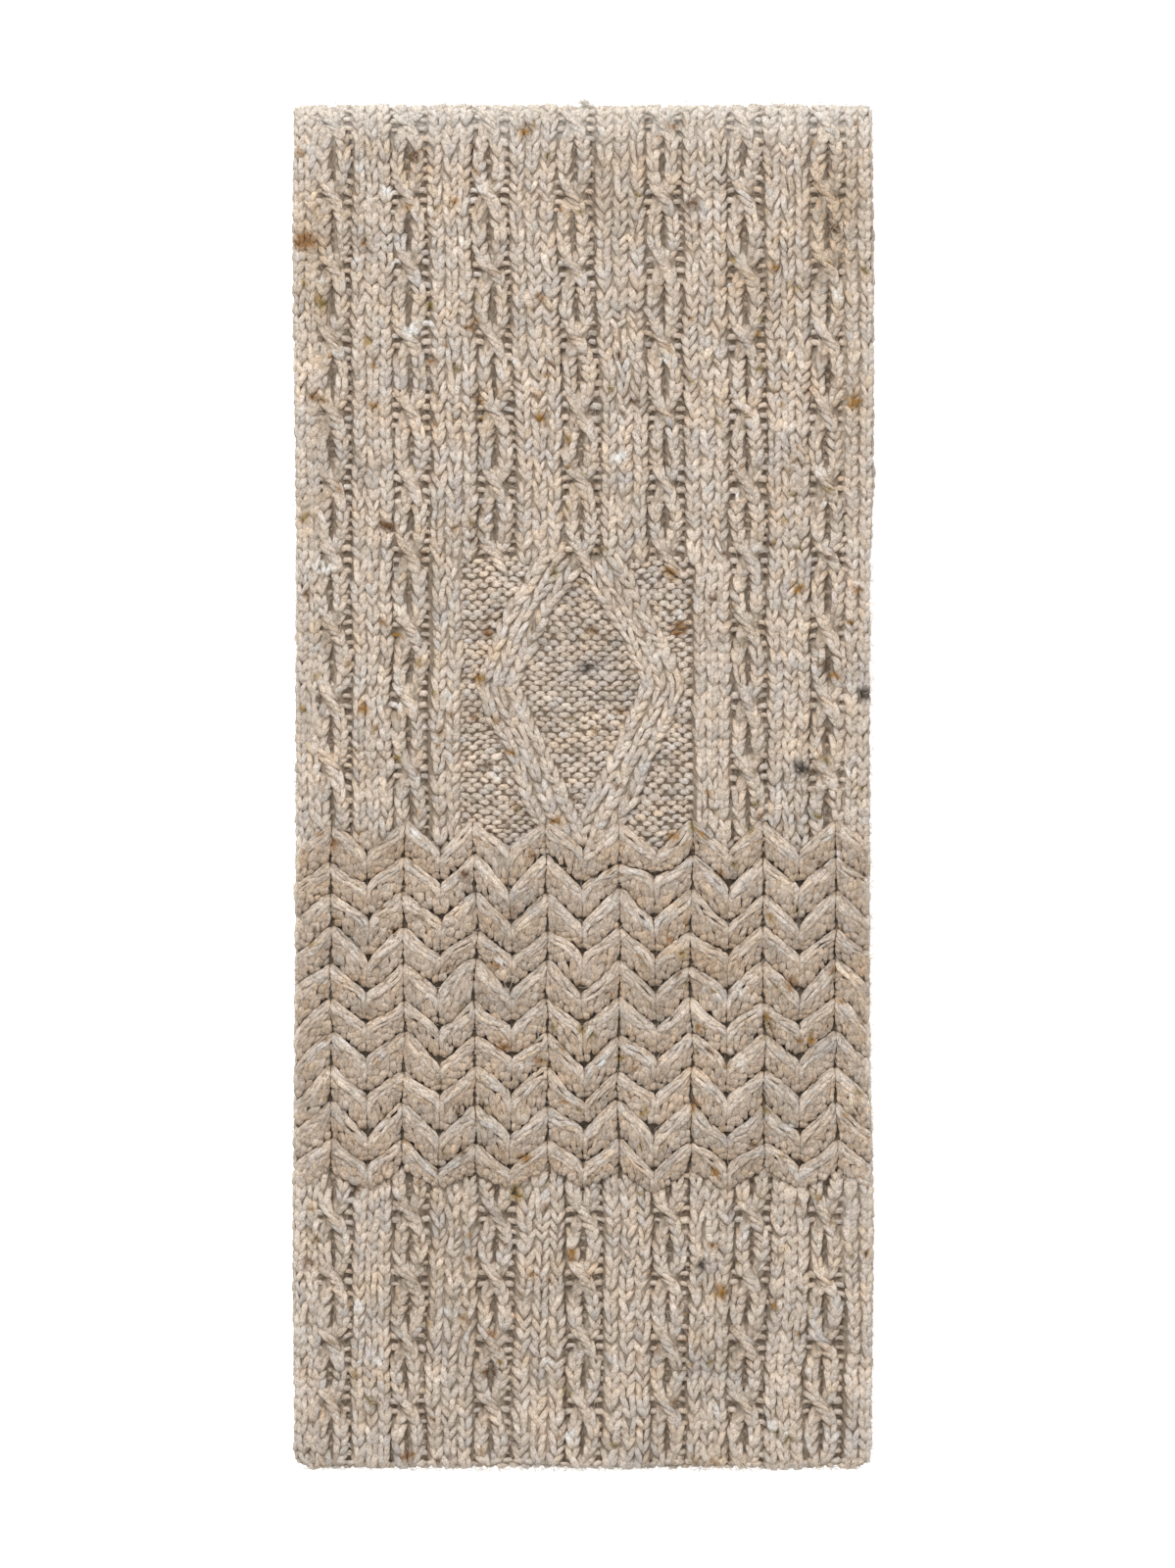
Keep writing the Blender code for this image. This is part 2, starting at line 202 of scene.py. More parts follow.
# The short legs that fill the chevrons under their ribbons.
BODY_LEG = {
    "along": (-0.72, -0.26, 0.26, 0.72),
    "aside": (0.08, 0.20, 0.30, 0.38),
    "radius": (0.55, 1.0, 1.0, 0.55),
    "depth": (1.1, 0.0, 0.0, 1.2),
}
# One bead of a purl stitch, which lies across: places in wales and courses.
BEAD = {
    "aside": (-0.47, -0.17, 0.17, 0.47),
    "along": (-0.16, 0.08, 0.08, -0.16),
    "radius": (0.55, 1.0, 1.0, 0.55),
    "depth": (1.3, 0.0, 0.0, 1.3),
}
# One slanting stroke over a cable's crossing: places as shares of its half length.
STROKE = {
    "aside": (-1.0, -0.4, 0.4, 1.0),
    "radius": (0.6, 1.0, 1.0, 0.6),
    "depth": (1.0, 0.0, 0.0, 1.0),
}
# The strokes over one crossing, in mm: their middles, half lengths and depths.
STROKES = {
    "across": (-2.7, -1.3, 0.1, 1.5, 2.8),
    "along": (6.2, 3.1, 0.0, -3.1, -6.2),
    "half": (3.1, 4.0, 4.2, 4.0, 3.1),
    "depth": (0.8, 0.4, 0.25, 0.4, 0.8),
}
STROKE_STEEP = 0.72
STROKE_BOW = 0.3 * MM
STROKE_SHADE = 0.85 * MM
# How uneven they are: ranges of length and slant, and spread of their places in mm.
STROKE_UNEVEN = {"half": (0.9, 1.12), "steep": (0.85, 1.15), "shift": 0.2}
# How near to a crossing the strand over it and the one under it still have stitches.
CROSSING_REACH = 3.6 * MM
UNDER_REACH = 2.4 * MM
UNDER_SHADE = 0.4
# Purl bars beside a cable's centre line: place, width, level over the ground and shade in
# mm, and whether they show near the crossings and between them.
LADDERS = {
    "in the hole": (0.0, 3.6, -0.7, 1.7, False, True),
    "at the right": (7.4, 5.8, 0.9, 1.0, True, True),
    "at the left": (-6.6, 5.0, 1.2, 0.9, True, False),
}
LADDER_CROSSING = 7.5 * MM
# Purl rows come in pairs: which way they arch, and their shift in wales.
PURL_PAIR = ((1.0, 0.5), (-1.0, 0.0))
# The diamond's purl rows: arch, shift in courses, height, shade, and their reach under the
# chevrons, past the diamond's top and under its bands.
FIELD_ARCH, FIELD_SHIFT = 1.15, 0.15
FIELD_LEVEL, FIELD_SHADE = 0.2 * MM, 0.45 * MM
FIELD_BELOW, FIELD_ABOVE, FIELD_UNDER_BAND = 5.0 * MM, 3.0 * MM, 1.5 * MM
# How uneven the stitches are, as spreads of shares of a course, a wale or a size.
UNEVEN = {
    "length": 0.11, "along": 0.09, "aside": 0.045, "lean": 0.11, "plump": 0.12, "tilt": 0.14,
    "rise": 0.22 * MM,
}
PLUMP_SHARE = 0.07
LEG_SHIFT, BEAD_SHIFT, BEAD_BEND = 0.7, 0.5, 2.0
TRACK_STEP = 0.5 * MM

# The edge ribs: their wales, how many fill the flat part, the gap inside them, and how far
# out the one wale beside the chevrons lies.
EDGE_WALES = 3
EDGE_GAP = 0.4 * MM
EDGE_WALES_FLAT = 2.05
OUTER_WALE = 2.6 * MM

# The ribbon of two wales that slants along each chevron's upper edge, and its height by the
# distance in mm from the chevron's middle.
RIBBON_WALE = 3.5 * MM
RIBBON_HALF = 3.9 * MM
RIBBON_TOP = 9.8 * MM
RIBBON_ARCH = {
    "along": (-12.0, -8.0, -3.0, 9.0, 12.0, 14.5),
    "share": (0.10, 0.78, 1.0, 1.0, 0.60, -0.15),
}
RIBBON_START, RIBBON_END = -6.3 * MM, 11.0 * MM
RIBBON_PITCH, RIBBON_STITCH = 0.92 * CHEVRON_COURSE, 1.1 * CHEVRON_COURSE
RIBBON_CLEAR = 0.85 * RIBBON_YARN
RIBBON_SHADE = 0.5 * MM
RIBBON_RAGGED = 2.3
# The body under the ribbon: its height and shade by the depth in mm below the row's upper edge.
BODY_WALES = 4
BODY_PROFILE = {
    "depth": (4.0, 9.0, 13.5, 16.0, 17.5),
    "share": (0.80, 0.94, 0.90, 0.72, 0.40),
}
BODY_SHADE = {"depth": (7.0, 10.0, 14.5, 16.5), "shade": (1.9, 1.45, 1.45, 2.3)}
BODY_HALF = 0.52 * CHEVRON_ROPE
BODY_START, BODY_END = 1.8 * MM, -6.0 * MM
BODY_PITCH = 0.90 * CHEVRON_COURSE
BODY_CLEAR = 0.92 * BODY_YARN
BODY_RAGGED = 2.2
BODY_SLANT = 0.22

# The shells under the yarn.
SHELL_UNDER = 1.3 * MM
SHELL_RELIEF = 0.8
SHELL_ROWS = 170
SHELL_FOLD_ROWS = 12
SHELL_END_ROWS = (1.1 * MM, 1.9 * MM)
SHELL_COLUMNS = 112
SHELL_INNER_COLUMNS = 24
SHELL_INSET = 1.4 * MM
SHELL_ROUND = 3.0 * MM
SHELL_SIDE = 0.45
HIDDEN_WALL = 4.4 * MM
HIDDEN_ROWS = 30
HIDDEN_FOLD_ROWS = 10
HIDDEN_COLUMNS = 40
HIDDEN_UPPER_END = FOLD_Y - 0.3 * MM
HIDDEN_LOWER_END = FOLD_Y + 3.0 * MM
HIDDEN_YARN_GAP = 0.4 * MM
# Steps from the side over which the wall rounds off, where its flat part starts, and the
# shares of its thickness left at the very side and at its ends.
HIDDEN_SIDE_STEPS = MM * np.array((0.0, 0.12, 0.5, 1.2, 2.2))
HIDDEN_FLAT_START = 8.0 * MM
HIDDEN_SIDE_SHARE = 0.08
HIDDEN_END_SHARE = 0.45
# The selvedges' wales in quarter turns round a hidden layer's side, and how far from the
# fold's axis they start on the lower and the upper layer.
SELVEDGE_RADIUS = 0.5 * LAYER - 0.1 * MM
SELVEDGE_TURNS = (0.35, 1.3125)
SELVEDGE_START = (3.0 * MM, 2.0 * MM)
SELVEDGE_END = 2.0 * MM
# Purl rows round the hidden layers' fold: their number, and places and shift in courses.
BACK_ROWS = 4
BACK_FIRST = 0.35
BACK_SHIFT = 0.24
BACK_PITCH = 0.82
BACK_RAISED = 0.1 * MM
BACK_INSET = 4.0 * MM
# Bumps of the cast-on edge: place along in mm, shift in wales, and slant.
CAST_ON = {"along": (1.9, -1.6), "shift": (0.0, 0.5), "slant": (0.25, -0.2)}
CAST_ON_PITCH = 0.9
CAST_ON_HEIGHT = GROUND + 1.7 * MM
CAST_ON_INSET = 3.0 * MM
BEAD_INSET = 5.0 * MM

# Wool colours, linear. The first is the yarn's own; the shells' colours are painted shade where the
# shells show between the stitches, darkest in the grooves, and the fold's shell colour is painted
# light.
YARN_COLOUR = (0.690, 0.600, 0.515)
SHELL_SHADE_COLOUR = (0.44, 0.360, 0.280)
GROOVE_SHADE_COLOUR = (0.26, 0.200, 0.147)
FOLD_SHELL_LIT_COLOUR = (0.70, 0.645, 0.58)
INNER_SHADE_COLOUR = (0.50, 0.42, 0.34)
# Painted shade: yarn that lies lower than its strand's crest is coloured towards this darker,
# browner colour, between these two depths.
PAINTED_SHADE_COLOUR = (0.73, 0.660, 0.585)
PAINTED_SHADE_START = 0.45 * MM
PAINTED_SHADE_END = 2.6 * MM
# Pale colour for painted light on the fold's rim, also taken by the side edges, and the own colour
# of the loose fibres past the outline.
RIM_LIGHT_AND_HALO_COLOUR = (0.82, 0.780, 0.715)
# Painted light: the wool turns paler from this far before the fold, as it turns towards the light,
# by shares for its rim colour, for less painted shade and for the shell. Past the fold's start the
# rim is palest first, and then fades out.
FOLD_FADE = 20.0 * MM
FOLD_PALE, FOLD_UNSHADED, FOLD_SHELL_PALE = 0.54, 0.75, 0.9
RIM_FULL, RIM_FADES, RIM_GONE = 5.0 * MM, 6.0 * MM, 13.0 * MM
# The wool also turns paler towards the side edges, by this share over this distance.
SIDE_PALE = 0.25
SIDE_FADE = 4.0 * MM
MARL = {
    "cream": (1.16, 1.17, 1.18),
    "sand": (1.04, 1.00, 0.92),
    "rose": (1.00, 0.94, 0.93),
    "grey": (0.88, 0.91, 0.95),
    "olive": (0.94, 0.96, 0.80),
    "brown": (0.82, 0.76, 0.70),
}
# How evenly the marl's tones mix, and how much of their lightness and hue is kept.
MARL_EVEN, MARL_LIGHT, MARL_HUE = 0.55, 0.85, 0.30
SHADE_SPREAD = 0.065
WARM_SPREAD = 0.022
WARM_BLUE = 1.4
FLECK_COLOURS = {
    "rust": (0.29, 0.155, 0.065),
    "orange": (0.33, 0.170, 0.035),
    "ochre": (0.33, 0.215, 0.06),
    "olive": (0.23, 0.165, 0.05),
    "brown": (0.15, 0.080, 0.035),
    "slate_and_hole_shade": (0.07, 0.057, 0.047),
    "tan": (0.37, 0.24, 0.125),
    "white": (0.86, 0.85, 0.83),
}
# The larger tweed flecks by colour: across, along and length in mm.
FLECKS = {
    "rust": (
        (-135, 597, 9), (-131, 521, 4), (-55, 552, 4), (-78, 443, 4), (-46, 406, 5),
        (4, 407, 5), (47, 408, 8), (-52, 365, 4), (86, 316, 4), (-121, 305, 4),
        (-24, 297, 4), (101, 235, 5), (-39, 204, 6), (-22, 196, 4), (54, 176, 4),
        (-133, 100, 4), (-86, 6, 5),
    ),
    "orange": (
        (-85, 613, 4), (-29, 649, 5), (-51, 519, 4), (92, 584, 5), (84, 551, 4),
        (131, 519, 7), (-20, 511, 6), (-118, 475, 4), (42, 435, 5), (-50, 383, 6),
        (-107, 369, 5), (105, 427, 6), (122, 385, 5), (-14, 315, 4), (42, 306, 5),
        (110, 205, 4), (-28, 151, 5), (64, 143, 4), (68, 85, 6), (-5, 103, 6),
    ),
    "ochre": ((-105, 549, 4), (-32, 132, 6), (114, 131, 4)),
    "olive": ((-126, 565, 6), (-75, 565, 4), (94, 17, 4)),
    "brown": (
        (-106, 597, 4), (-82, 637, 5), (122, 602, 7), (53, 614, 5), (-96, 457, 6),
        (41, 462, 4), (90, 449, 4), (117, 390, 5), (-58, 287, 5), (-44, 46, 7),
    ),
    # The first slate fleck is painted shade: a dark spot for a small hole in the purl field.
    "slate_and_hole_shade": ((2, 389, 5), (136, 377, 6), (106, 340, 7), (58, 99, 4)),
    "tan": ((63, 108, 5), (-58, 72, 4)),
    "white": (
        (-96, 621, 5), (-82, 552, 7), (-126, 438, 7), (18, 492, 6), (-8, 17, 5),
        (-110, 79, 5),
    ),
}
# The small ones at random places: ranges in mm.
SMALL_FLECKS = 400
SMALL_FLECK = {"across": (-138.0, 138.0), "along": (2.0, 658.0), "size": (2.0, 3.6)}
SMALL_FLECK_COLOURS = ("rust", "orange", "ochre", "olive", "olive", "brown", "tan", "tan", "white")
# A fleck's half width and half length as shares of its size, and how ragged its edge is.
FLECK_WIDE, FLECK_LONG = 0.60, 0.50
FLECK_RAGGED, FLECK_EDGE, FLECK_REACH = 0.3, (0.70, 1.30), 1.5
# Soft patches of browner wool: middle, half width and half length in mm, and strength.
PATCHES = {
    "across": (123.0, -133.0, -128.0, 14.0, 80.0, 128.0, -100.0, 60.0, -70.0),
    "along": (606.0, 601.0, 565.0, 622.0, 573.0, 520.0, 300.0, 250.0, 90.0),
    "wide": (17.0, 12.0, 14.0, 22.0, 16.0, 14.0, 26.0, 30.0, 24.0),
    "long": (34.0, 16.0, 20.0, 26.0, 18.0, 26.0, 14.0, 20.0, 30.0),
    "brown": (0.75, 0.70, 0.45, 0.35, 0.45, 0.35, 0.30, 0.30, 0.25),
}
PATCH_TINT = (0.80, 0.72, 0.60)

# The marl's pattern in the yarn: radians of twist a mm, its thinnest radius as a share of the
# thickest, its longest shift in mm, and the margin round a strand on the map.
YARN_TWIST = 0.55
THINNEST_YARN = 0.3
FIBRE_START = 500.0
MAP_MARGIN = 0.06

# Loose fibres on the face and past the outline: number, and ranges and spreads in mm.
FIBRE_RADIUS = 0.10 * MM
FACE = {
    "count": 5900, "inset": 2.0, "past_fold": 6.0, "length": (3.0, 7.0), "curl": 1.1,
    "rise": (-0.3, 0.5), "slope": 0.35,
}
OUTLINE = {
    "count": 3900, "inset": 4.0, "top_inset": 3.0, "length": (2.0, 5.5), "curl": 1.4,
    "reach": (-0.9, 1.5), "rise": (0.2, 4.6), "slope": 0.3, "turn": 1.05,
}
# The outline's left, right, free end and fold: share of the fibres, and way out.
OUTLINE_SIDES = {"share": (0.33, 0.33, 0.15, 0.19), "x": (-1, 1, 0, 0), "y": (0, 0, -1, 1)}
TUFT = {"share": 0.12, "middle": 0.5, "spread": 1.6}
FIBRE_SHADE = (0.85, 1.20)
DARK_FIBRE = 0.45


# Helpers for smooth changes and for the cloth's outline.

def ease(start, end, value):
    """0 before start, 1 after end, and a smooth step between them."""
    t = np.clip((value - start) / (end - start), 0.0, 1.0)
    return t * t * (3.0 - 2.0 * t)


def mixed(first, second, share):
    return np.asarray(first) * (1.0 - share) + np.asarray(second) * share


def stacked(*parts):
    """Points or colours from their parts."""
    return np.stack(np.broadcast_arrays(*parts), axis=-1)


def panel(start, end, along):
    half = PANEL_BLEND / 2
    return ease(start - half, start + half, along) * (1.0 - ease(end - half, end + half, along))


def half_width(side, along):
    """Half the width at one side, with its wander and the rounded corner at the free end."""
    half = WIDTH / 2 + MM * np.interp(along / MM, SIDE_EDGES["along"], SIDE_EDGES[side])
    short = np.clip(CORNER_RADIUS - along, 0.0, CORNER_RADIUS)
    return half - CORNER_RADIUS + np.sqrt(CORNER_RADIUS ** 2 - short ** 2)


def either_half_width(x, along):
    return np.where(x < 0, half_width("left", along), half_width("right", along))


def crown(t, height):
    """A flat-topped rib, with t from -1 to 1 across it."""
    return height * np.clip(1.0 - np.abs(t) ** RIB_CROWN, 0.0, None)


def round_strand(offset, half, height):
    return height * np.clip(1.0 - (offset / half) ** 2, 0.0, None) ** STRAND_CROWN


# Where each panel's raised forms run.

def cable_centre(name, along):
    return MM * np.interp(along / MM, CABLE_CENTRES["along"], CABLE_CENTRES[name])


def cable_swing(along, zone):
    """How far the strands of a cable lie from its centre line."""
    wave = np.sin(np.pi * (along - zone.first) / zone.repeat)
    return CABLE_SWING * np.tanh(CABLE_CROSSING * wave) / math.tanh(CABLE_CROSSING)


def cable_lift(along, zone, strand):
    """Height of a cable's strand, +1 or -1, which drops where it passes under the other."""
    phase = np.cos(np.pi * (along - zone.first) / zone.repeat)
    under = phase ** 2 * (strand * phase > 0.0)
    return CABLE_HEIGHT * (1.0 - UNDER_STRAND_DROP * under)


def rib_edges(index, along, first=0.0, last=1.0):
    """Edges of the rib between two cables, or of the part of it between two shares."""
    left = cable_centre(CABLE_NAMES[index], along) + CABLE_GROOVE_RIGHT
    right = cable_centre(CABLE_NAMES[index + 1], along) - CABLE_GROOVE_LEFT
    return left + first * (right - left), left + last * (right - left)


def rib_crest(x, left, right):
    return crown((2.0 * x - left - right) / (right - left), RIB_HEIGHT)


def diamond_offset(along):
    """How far the diamond's bands lie from its centre line: bowed above, straight below."""
    above = np.clip(along - DIAMOND_MIDDLE, 0.0, None) / (DIAMOND_TOP - DIAMOND_MIDDLE)
    below = np.clip(DIAMOND_MIDDLE - along, 0.0, None) / (DIAMOND_MIDDLE - CHEVRON_TOP)
    narrowing = (DIAMOND_WIDE - DIAMOND_TOP_TIP) * above ** DIAMOND_CURVE_ABOVE
    narrowing = narrowing + (DIAMOND_WIDE - DIAMOND_LOW_TIP) * below
    return np.clip(DIAMOND_WIDE - narrowing, 0.0, None)


def from_band(x, along):
    return np.abs(np.abs(x - DIAMOND_CENTRE) - diamond_offset(along))


def from_peak(x):
    """0 at the peaks of the chevrons and 1 at the points of their V's."""
    return np.abs(np.mod((x + WIDTH / 2) / CHEVRON_ROPE, 2.0) - 1.0)


def chevron_crease(x, middle):
    """The line of a row's V's, where its ribbons start, a little blunt at the points."""
    return middle + CHEVRON_RISE * (1.0 - np.minimum(from_peak(x) / CHEVRON_BLUNT, 1.0))


def chevron_upper_edge(x, middle):
    """Where the row or the stitches above a row of chevrons end over it."""
    uneven = np.clip(1.0 + CHEVRON_GAP_UNEVEN * PLUMP_DRIFT(x, middle), *GAP_LIMITS)
    return np.maximum(chevron_crease(x, middle), middle + CHEVRON_GAP * uneven)


def chevron_lower_edge(x, middle):
    """Where a row of chevrons ends over the next one or, in the lowest row, over the ribs."""
    if middle < CHEVRON_FIRST + 0.5 * CHEVRON_REPEAT:
        return middle - CHEVRON_FOOT - CHEVRON_FOOT_RISE * from_peak(x)
    return chevron_upper_edge(x, middle - CHEVRON_REPEAT)


def kept_in_limb(rope, lowest, highest):
    """Bends stitches that would leave a chevron's limb back along its edges."""
    middle = -WIDTH / 2 + (rope + 0.5) * CHEVRON_ROPE

    def keep(x, along):
        share = np.abs((x - middle) / (0.5 * CHEVRON_ROPE - CHEVRON_SEAM))
        x = middle + (x - middle) / (1.0 + share ** LIMB_BEND) ** (1.0 / LIMB_BEND)
        low, high = lowest(x), highest(x)
        along = np.maximum(along, low + STRAY * (along - low))
        return x, np.minimum(along, high + STRAY * (along - high))

    return keep


# Slow, smooth unevenness.

def plane_waves(seed, shortest, longest, count=18):
    """A smooth random field over the cloth, about -1 to 1, longer across than along."""
    rng = np.random.default_rng(seed)
    length = np.exp(rng.uniform(np.log(shortest), np.log(longest), count))
    turn = rng.uniform(0.0, 2.0 * np.pi, count)
    shift = rng.uniform(0.0, 2.0 * np.pi, count)
    across = 0.6 * np.cos(turn) * 2.0 * np.pi / length
    down = np.sin(turn) * 2.0 * np.pi / length

    def field(x, along):
        waves = (np.sin(across[k] * x + down[k] * along + shift[k]) for k in range(count))
        return sum(waves) / math.sqrt(count)

    return field


SHADE_DRIFT = plane_waves(11, 14.0 * MM, 90.0 * MM)
WARM_DRIFT = plane_waves(12, 10.0 * MM, 60.0 * MM)
ACROSS_WANDER = plane_waves(13, 16.0 * MM, 90.0 * MM)
ALONG_WANDER = plane_waves(14, 14.0 * MM, 80.0 * MM)
PLUMP_DRIFT = plane_waves(15, 9.0 * MM, 45.0 * MM)


# The cloth's bends.

def fold_turn(along):
    return np.clip(along - FLAT_RUN, 0.0, None) / FOLD_RUN


def near_fold(along, end=0.0):
    """0 well before the fold, and 1 from a distance past its start."""
    return ease(FLAT_RUN - FOLD_FADE, FLAT_RUN + end, along)


def settle(x, along, crest):
    """Height of a crest, kept low where the cloth turns down or under."""
    half = either_half_width(x, along)
    near = ease(half - EDGE_REACH - EDGE_TURN, half - EDGE_TURN, np.abs(x))
    crest = crest - np.clip(GROUND + crest - EDGE_TOP, 0.0, None) * near
    turn = fold_turn(along)
    crest = mixed(crest, FOLD_LEVEL, FOLD_EVEN * ease(*FOLD_EVENING, turn))
    return GROUND + crest * (1.0 - (1.0 - PRESSED) * ease(0.5 * np.pi, np.pi, turn))


def tucked(x, along, crest):
    """The same for a crest that the first and last rows of chevrons cover."""
    upper = chevron_upper_edge(x, CHEVRON_LAST)
    lower = chevron_lower_edge(x, CHEVRON_FIRST)
    blend = CHEVRON_TUCK_BLEND
    under = 1.0 - ease(upper - blend, upper + blend, along)
    under = under * ease(lower - blend, lower + blend, along)
    return settle(x, along, crest - CHEVRON_TUCK * under)


def level(height):
    """A flat crest at a height over the ground of the front stretch."""
    return lambda x, along, _=None: settle(x, along, height)


def plain(height):
    """A flat crest at a height that nothing bends."""
    return lambda x, along, _=None: np.full_like(x, height)


def turned_down(beyond, turn, height):
    """How far points move outwards, and their height, where the cloth turns down."""
    angle = np.clip(beyond, 0.0, None) / turn
    lift = height - EDGE_PIVOT
    return (lift + EDGE_PUFF) * np.sin(angle), EDGE_PIVOT + lift * np.cos(angle)


def round_fold(along, height):
    """y and z of points on the front stretch's flat run and round its fold."""
    radius = FOLD_INNER_RADIUS + height
    turn = fold_turn(along)
    y = np.minimum(along, FLAT_RUN) - LENGTH / 2 + radius * np.sin(turn)
    return y, FOLD_HEIGHT + radius * np.cos(turn)


def front_place(x, along, height):
    """Points of the front stretch, bent down at its sides and free end and under at the fold."""
    freer = 1.0 + CHEVRON_WANDER * panel(CHEVRON_FIRST, CHEVRON_LAST, along)
    shift = WANDER_ALONG * freer * ALONG_WANDER(x, along)
    x = x + WANDER_ACROSS * ACROSS_WANDER(x, along)
    along = along + shift
    limit = either_half_width(x, along) - EDGE_TURN
    out_x, height = turned_down(np.abs(x) - limit, EDGE_TURN, height)
    out_y, height = turned_down(END_TURN - along, END_TURN, height)
    y, z = round_fold(np.maximum(along, END_TURN), height)
    return stacked(np.sign(x) * (np.minimum(np.abs(x), limit) + out_x), y - out_y, z)


def back_fold_place(x, along, height):
    """Points round the hidden layers' fold at -Y; along is the arc from its upper side."""
    angle = along / LAYER
    return stacked(x, BACK_FOLD_Y - height * np.sin(angle), LAYER + height * np.cos(angle))


# Colour of the hand-spun yarn.

def all_flecks():
    """Rows of across, along, size and colour: the larger flecks, then the small ones."""
    rng = np.random.default_rng(21)
    rows = [(*spot, name) for name, spots in FLECKS.items() for spot in spots]
    for _ in range(SMALL_FLECKS):
        spot = [rng.uniform(*limits) for limits in SMALL_FLECK.values()]
        rows.append((*spot, SMALL_FLECK_COLOURS[rng.integers(len(SMALL_FLECK_COLOURS))]))
    return rows


def add_flecks(tint, x, along, rng):
    """Paints the tweed flecks into the colours of points on the front stretch."""
    for centre_x, centre_along, size, name in all_flecks():
        across = (x / MM - centre_x) / (FLECK_WIDE * size)
        down = (along / MM - centre_along) / (FLECK_LONG * size)
        distance = np.sqrt(across ** 2 + down ** 2)
        near = np.nonzero(distance < FLECK_REACH)
        count = len(near[0])
        if count > 0:
            ragged = distance[near] + rng.uniform(-FLECK_RAGGED, FLECK_RAGGED, count)
            share = 1.0 - ease(*FLECK_EDGE, ragged)[:, None]
            tint[near] = mixed(tint[near], FLECK_COLOURS[name], share)


def yarn_tint(x, along, rng):
    """Colours of points: a marled tone for each strand, with drift over the cloth, painted light
    towards the fold and paler side edges.
    """
    count = len(x)
    palette = np.array(list(MARL.values()))
    weight = rng.dirichlet(np.full(len(palette), MARL_EVEN), count)
    tone = weight @ palette - palette.mean(axis=0)
    grey = tone.mean(axis=1, keepdims=True)
    marl = 1.0 + MARL_LIGHT * grey + MARL_HUE * (tone - grey)
    shade = 1.0 + SHADE_SPREAD * SHADE_DRIFT(x, along)
    shade = shade + rng.normal(0.0, SHADE_SPREAD, (count, 1))
    warm = WARM_SPREAD * WARM_DRIFT(x, along) + rng.normal(0.0, WARM_SPREAD, (count, 1))
    drift = stacked(1.0 + warm, 1.0, 1.0 - WARM_BLUE * warm) * shade[..., None]
    tint = np.array(YARN_COLOUR) * marl[:, None] * drift
    for across, middle, wide, long, brown in zip(*PATCHES.values()):
        away = ((x / MM - across) / wide) ** 2 + ((along / MM - middle) / long) ** 2
        tint = tint * mixed(1.0, PATCH_TINT, brown * np.exp(-away)[..., None])
    # Painted light: paler towards the fold's rim; paler too at the side edges.
    rim = FOLD_PALE * near_fold(along, RIM_FULL)
    rim = rim * (1.0 - ease(FLAT_RUN + RIM_FADES, FLAT_RUN + RIM_GONE, along))
    rim = np.maximum(rim, SIDE_PALE * ease(WIDTH / 2 - SIDE_FADE, WIDTH / 2, np.abs(x)))
    return np.clip(mixed(tint, RIM_LIGHT_AND_HALO_COLOUR, rim[..., None]), 0.02, 0.9)


# Meshes.

def add_object(name, data, location=(0.0, 0.0, 0.0)):
    thing = bpy.data.objects.new(name, data)
    thing.location = location
    bpy.context.scene.collection.objects.link(thing)
    return thing


def new_piece(name, points, faces, places, tints):
    """A smooth mesh with a name and values for its points' places in the wool and colours."""
    mesh = bpy.data.meshes.new(name)
    corners = np.concatenate([block.ravel() for block in faces])
    sizes = np.concatenate([np.full(len(block), block.shape[1]) for block in faces])
    mesh.vertices.add(len(points))
    mesh.vertices.foreach_set("co", points.astype(np.float32).ravel())
    mesh.loops.add(len(corners))
    mesh.loops.foreach_set("vertex_index", corners.astype(np.int32))
    mesh.polygons.add(len(sizes))
    mesh.polygons.foreach_set("loop_start", (np.cumsum(sizes) - sizes).astype(np.int32))
    mesh.update(calc_edges=True)
    mesh.shade_smooth()
    layers = (("FLOAT_VECTOR", "vector", 0, places), ("FLOAT_COLOR", "color", 1, tints))
    for kind, slot, alpha, (title, values) in layers:
        values = np.pad(values, ((0, 0), (0, alpha)), constant_values=1.0)
        attribute = mesh.attributes.new(title, kind, "POINT")
        attribute.data.foreach_set(slot, values.astype(np.float32).ravel())
    return add_object(name, mesh)


def tube_faces(rings, sides):
    """A closed tube's quads and its tips' triangles: vertex numbers and places on its map."""
    def corner(ring, side):
        return ring * sides + side % sides, (side / sides, (ring + 1) / (rings + 1))

    quads = [
        [corner(ring, side), corner(ring + 1, side), corner(ring + 1, side + 1),
         corner(ring, side + 1)]
        for ring in range(rings - 1) for side in range(sides)
    ]
    tips, first_tip, last = [], rings * sides, rings - 1
    for side in range(sides):
        middle = (side + 0.5) / sides
        tips.append([(first_tip, (middle, 0.0)), corner(0, side), corner(0, side + 1)])
        tips.append([
            (first_tip + 1, (middle, 1.0)), corner(last, side + 1), corner(last, side),
        ])
    return [
        [np.array([[point[part] for point in face] for face in faces]) for part in (0, 1)]
        for faces in (quads, tips)
    ]


def tube_points(strands, section):
    """Centre lines of strands, and their points: rings round the line and then two tips."""
    centre = stacked(strands["x"], strands["along"], strands["height"])
    tangent = np.gradient(centre, axis=1)
    tangent /= np.linalg.norm(tangent, axis=-1, keepdims=True)
    aside = stacked(tangent[..., 1], -tangent[..., 0], 0.0)
    aside /= np.linalg.norm(aside, axis=-1, keepdims=True)
    up = np.cross(aside, tangent)
    turn = section[:, None]
    ring = np.cos(turn) * aside[:, :, None] + YARN_FLATNESS * np.sin(turn) * up[:, :, None]
    skin = centre[:, :, None] + strands["radius"][:, :, None, None] * ring
    reach = np.array([[-1.0], [1.0]]) * strands["tip"][..., None]
    tips = centre[:, [0, -1]] + reach * tangent[:, [0, -1]]
    return centre, np.concatenate([skin.reshape(len(centre), -1, 3), tips], axis=1)


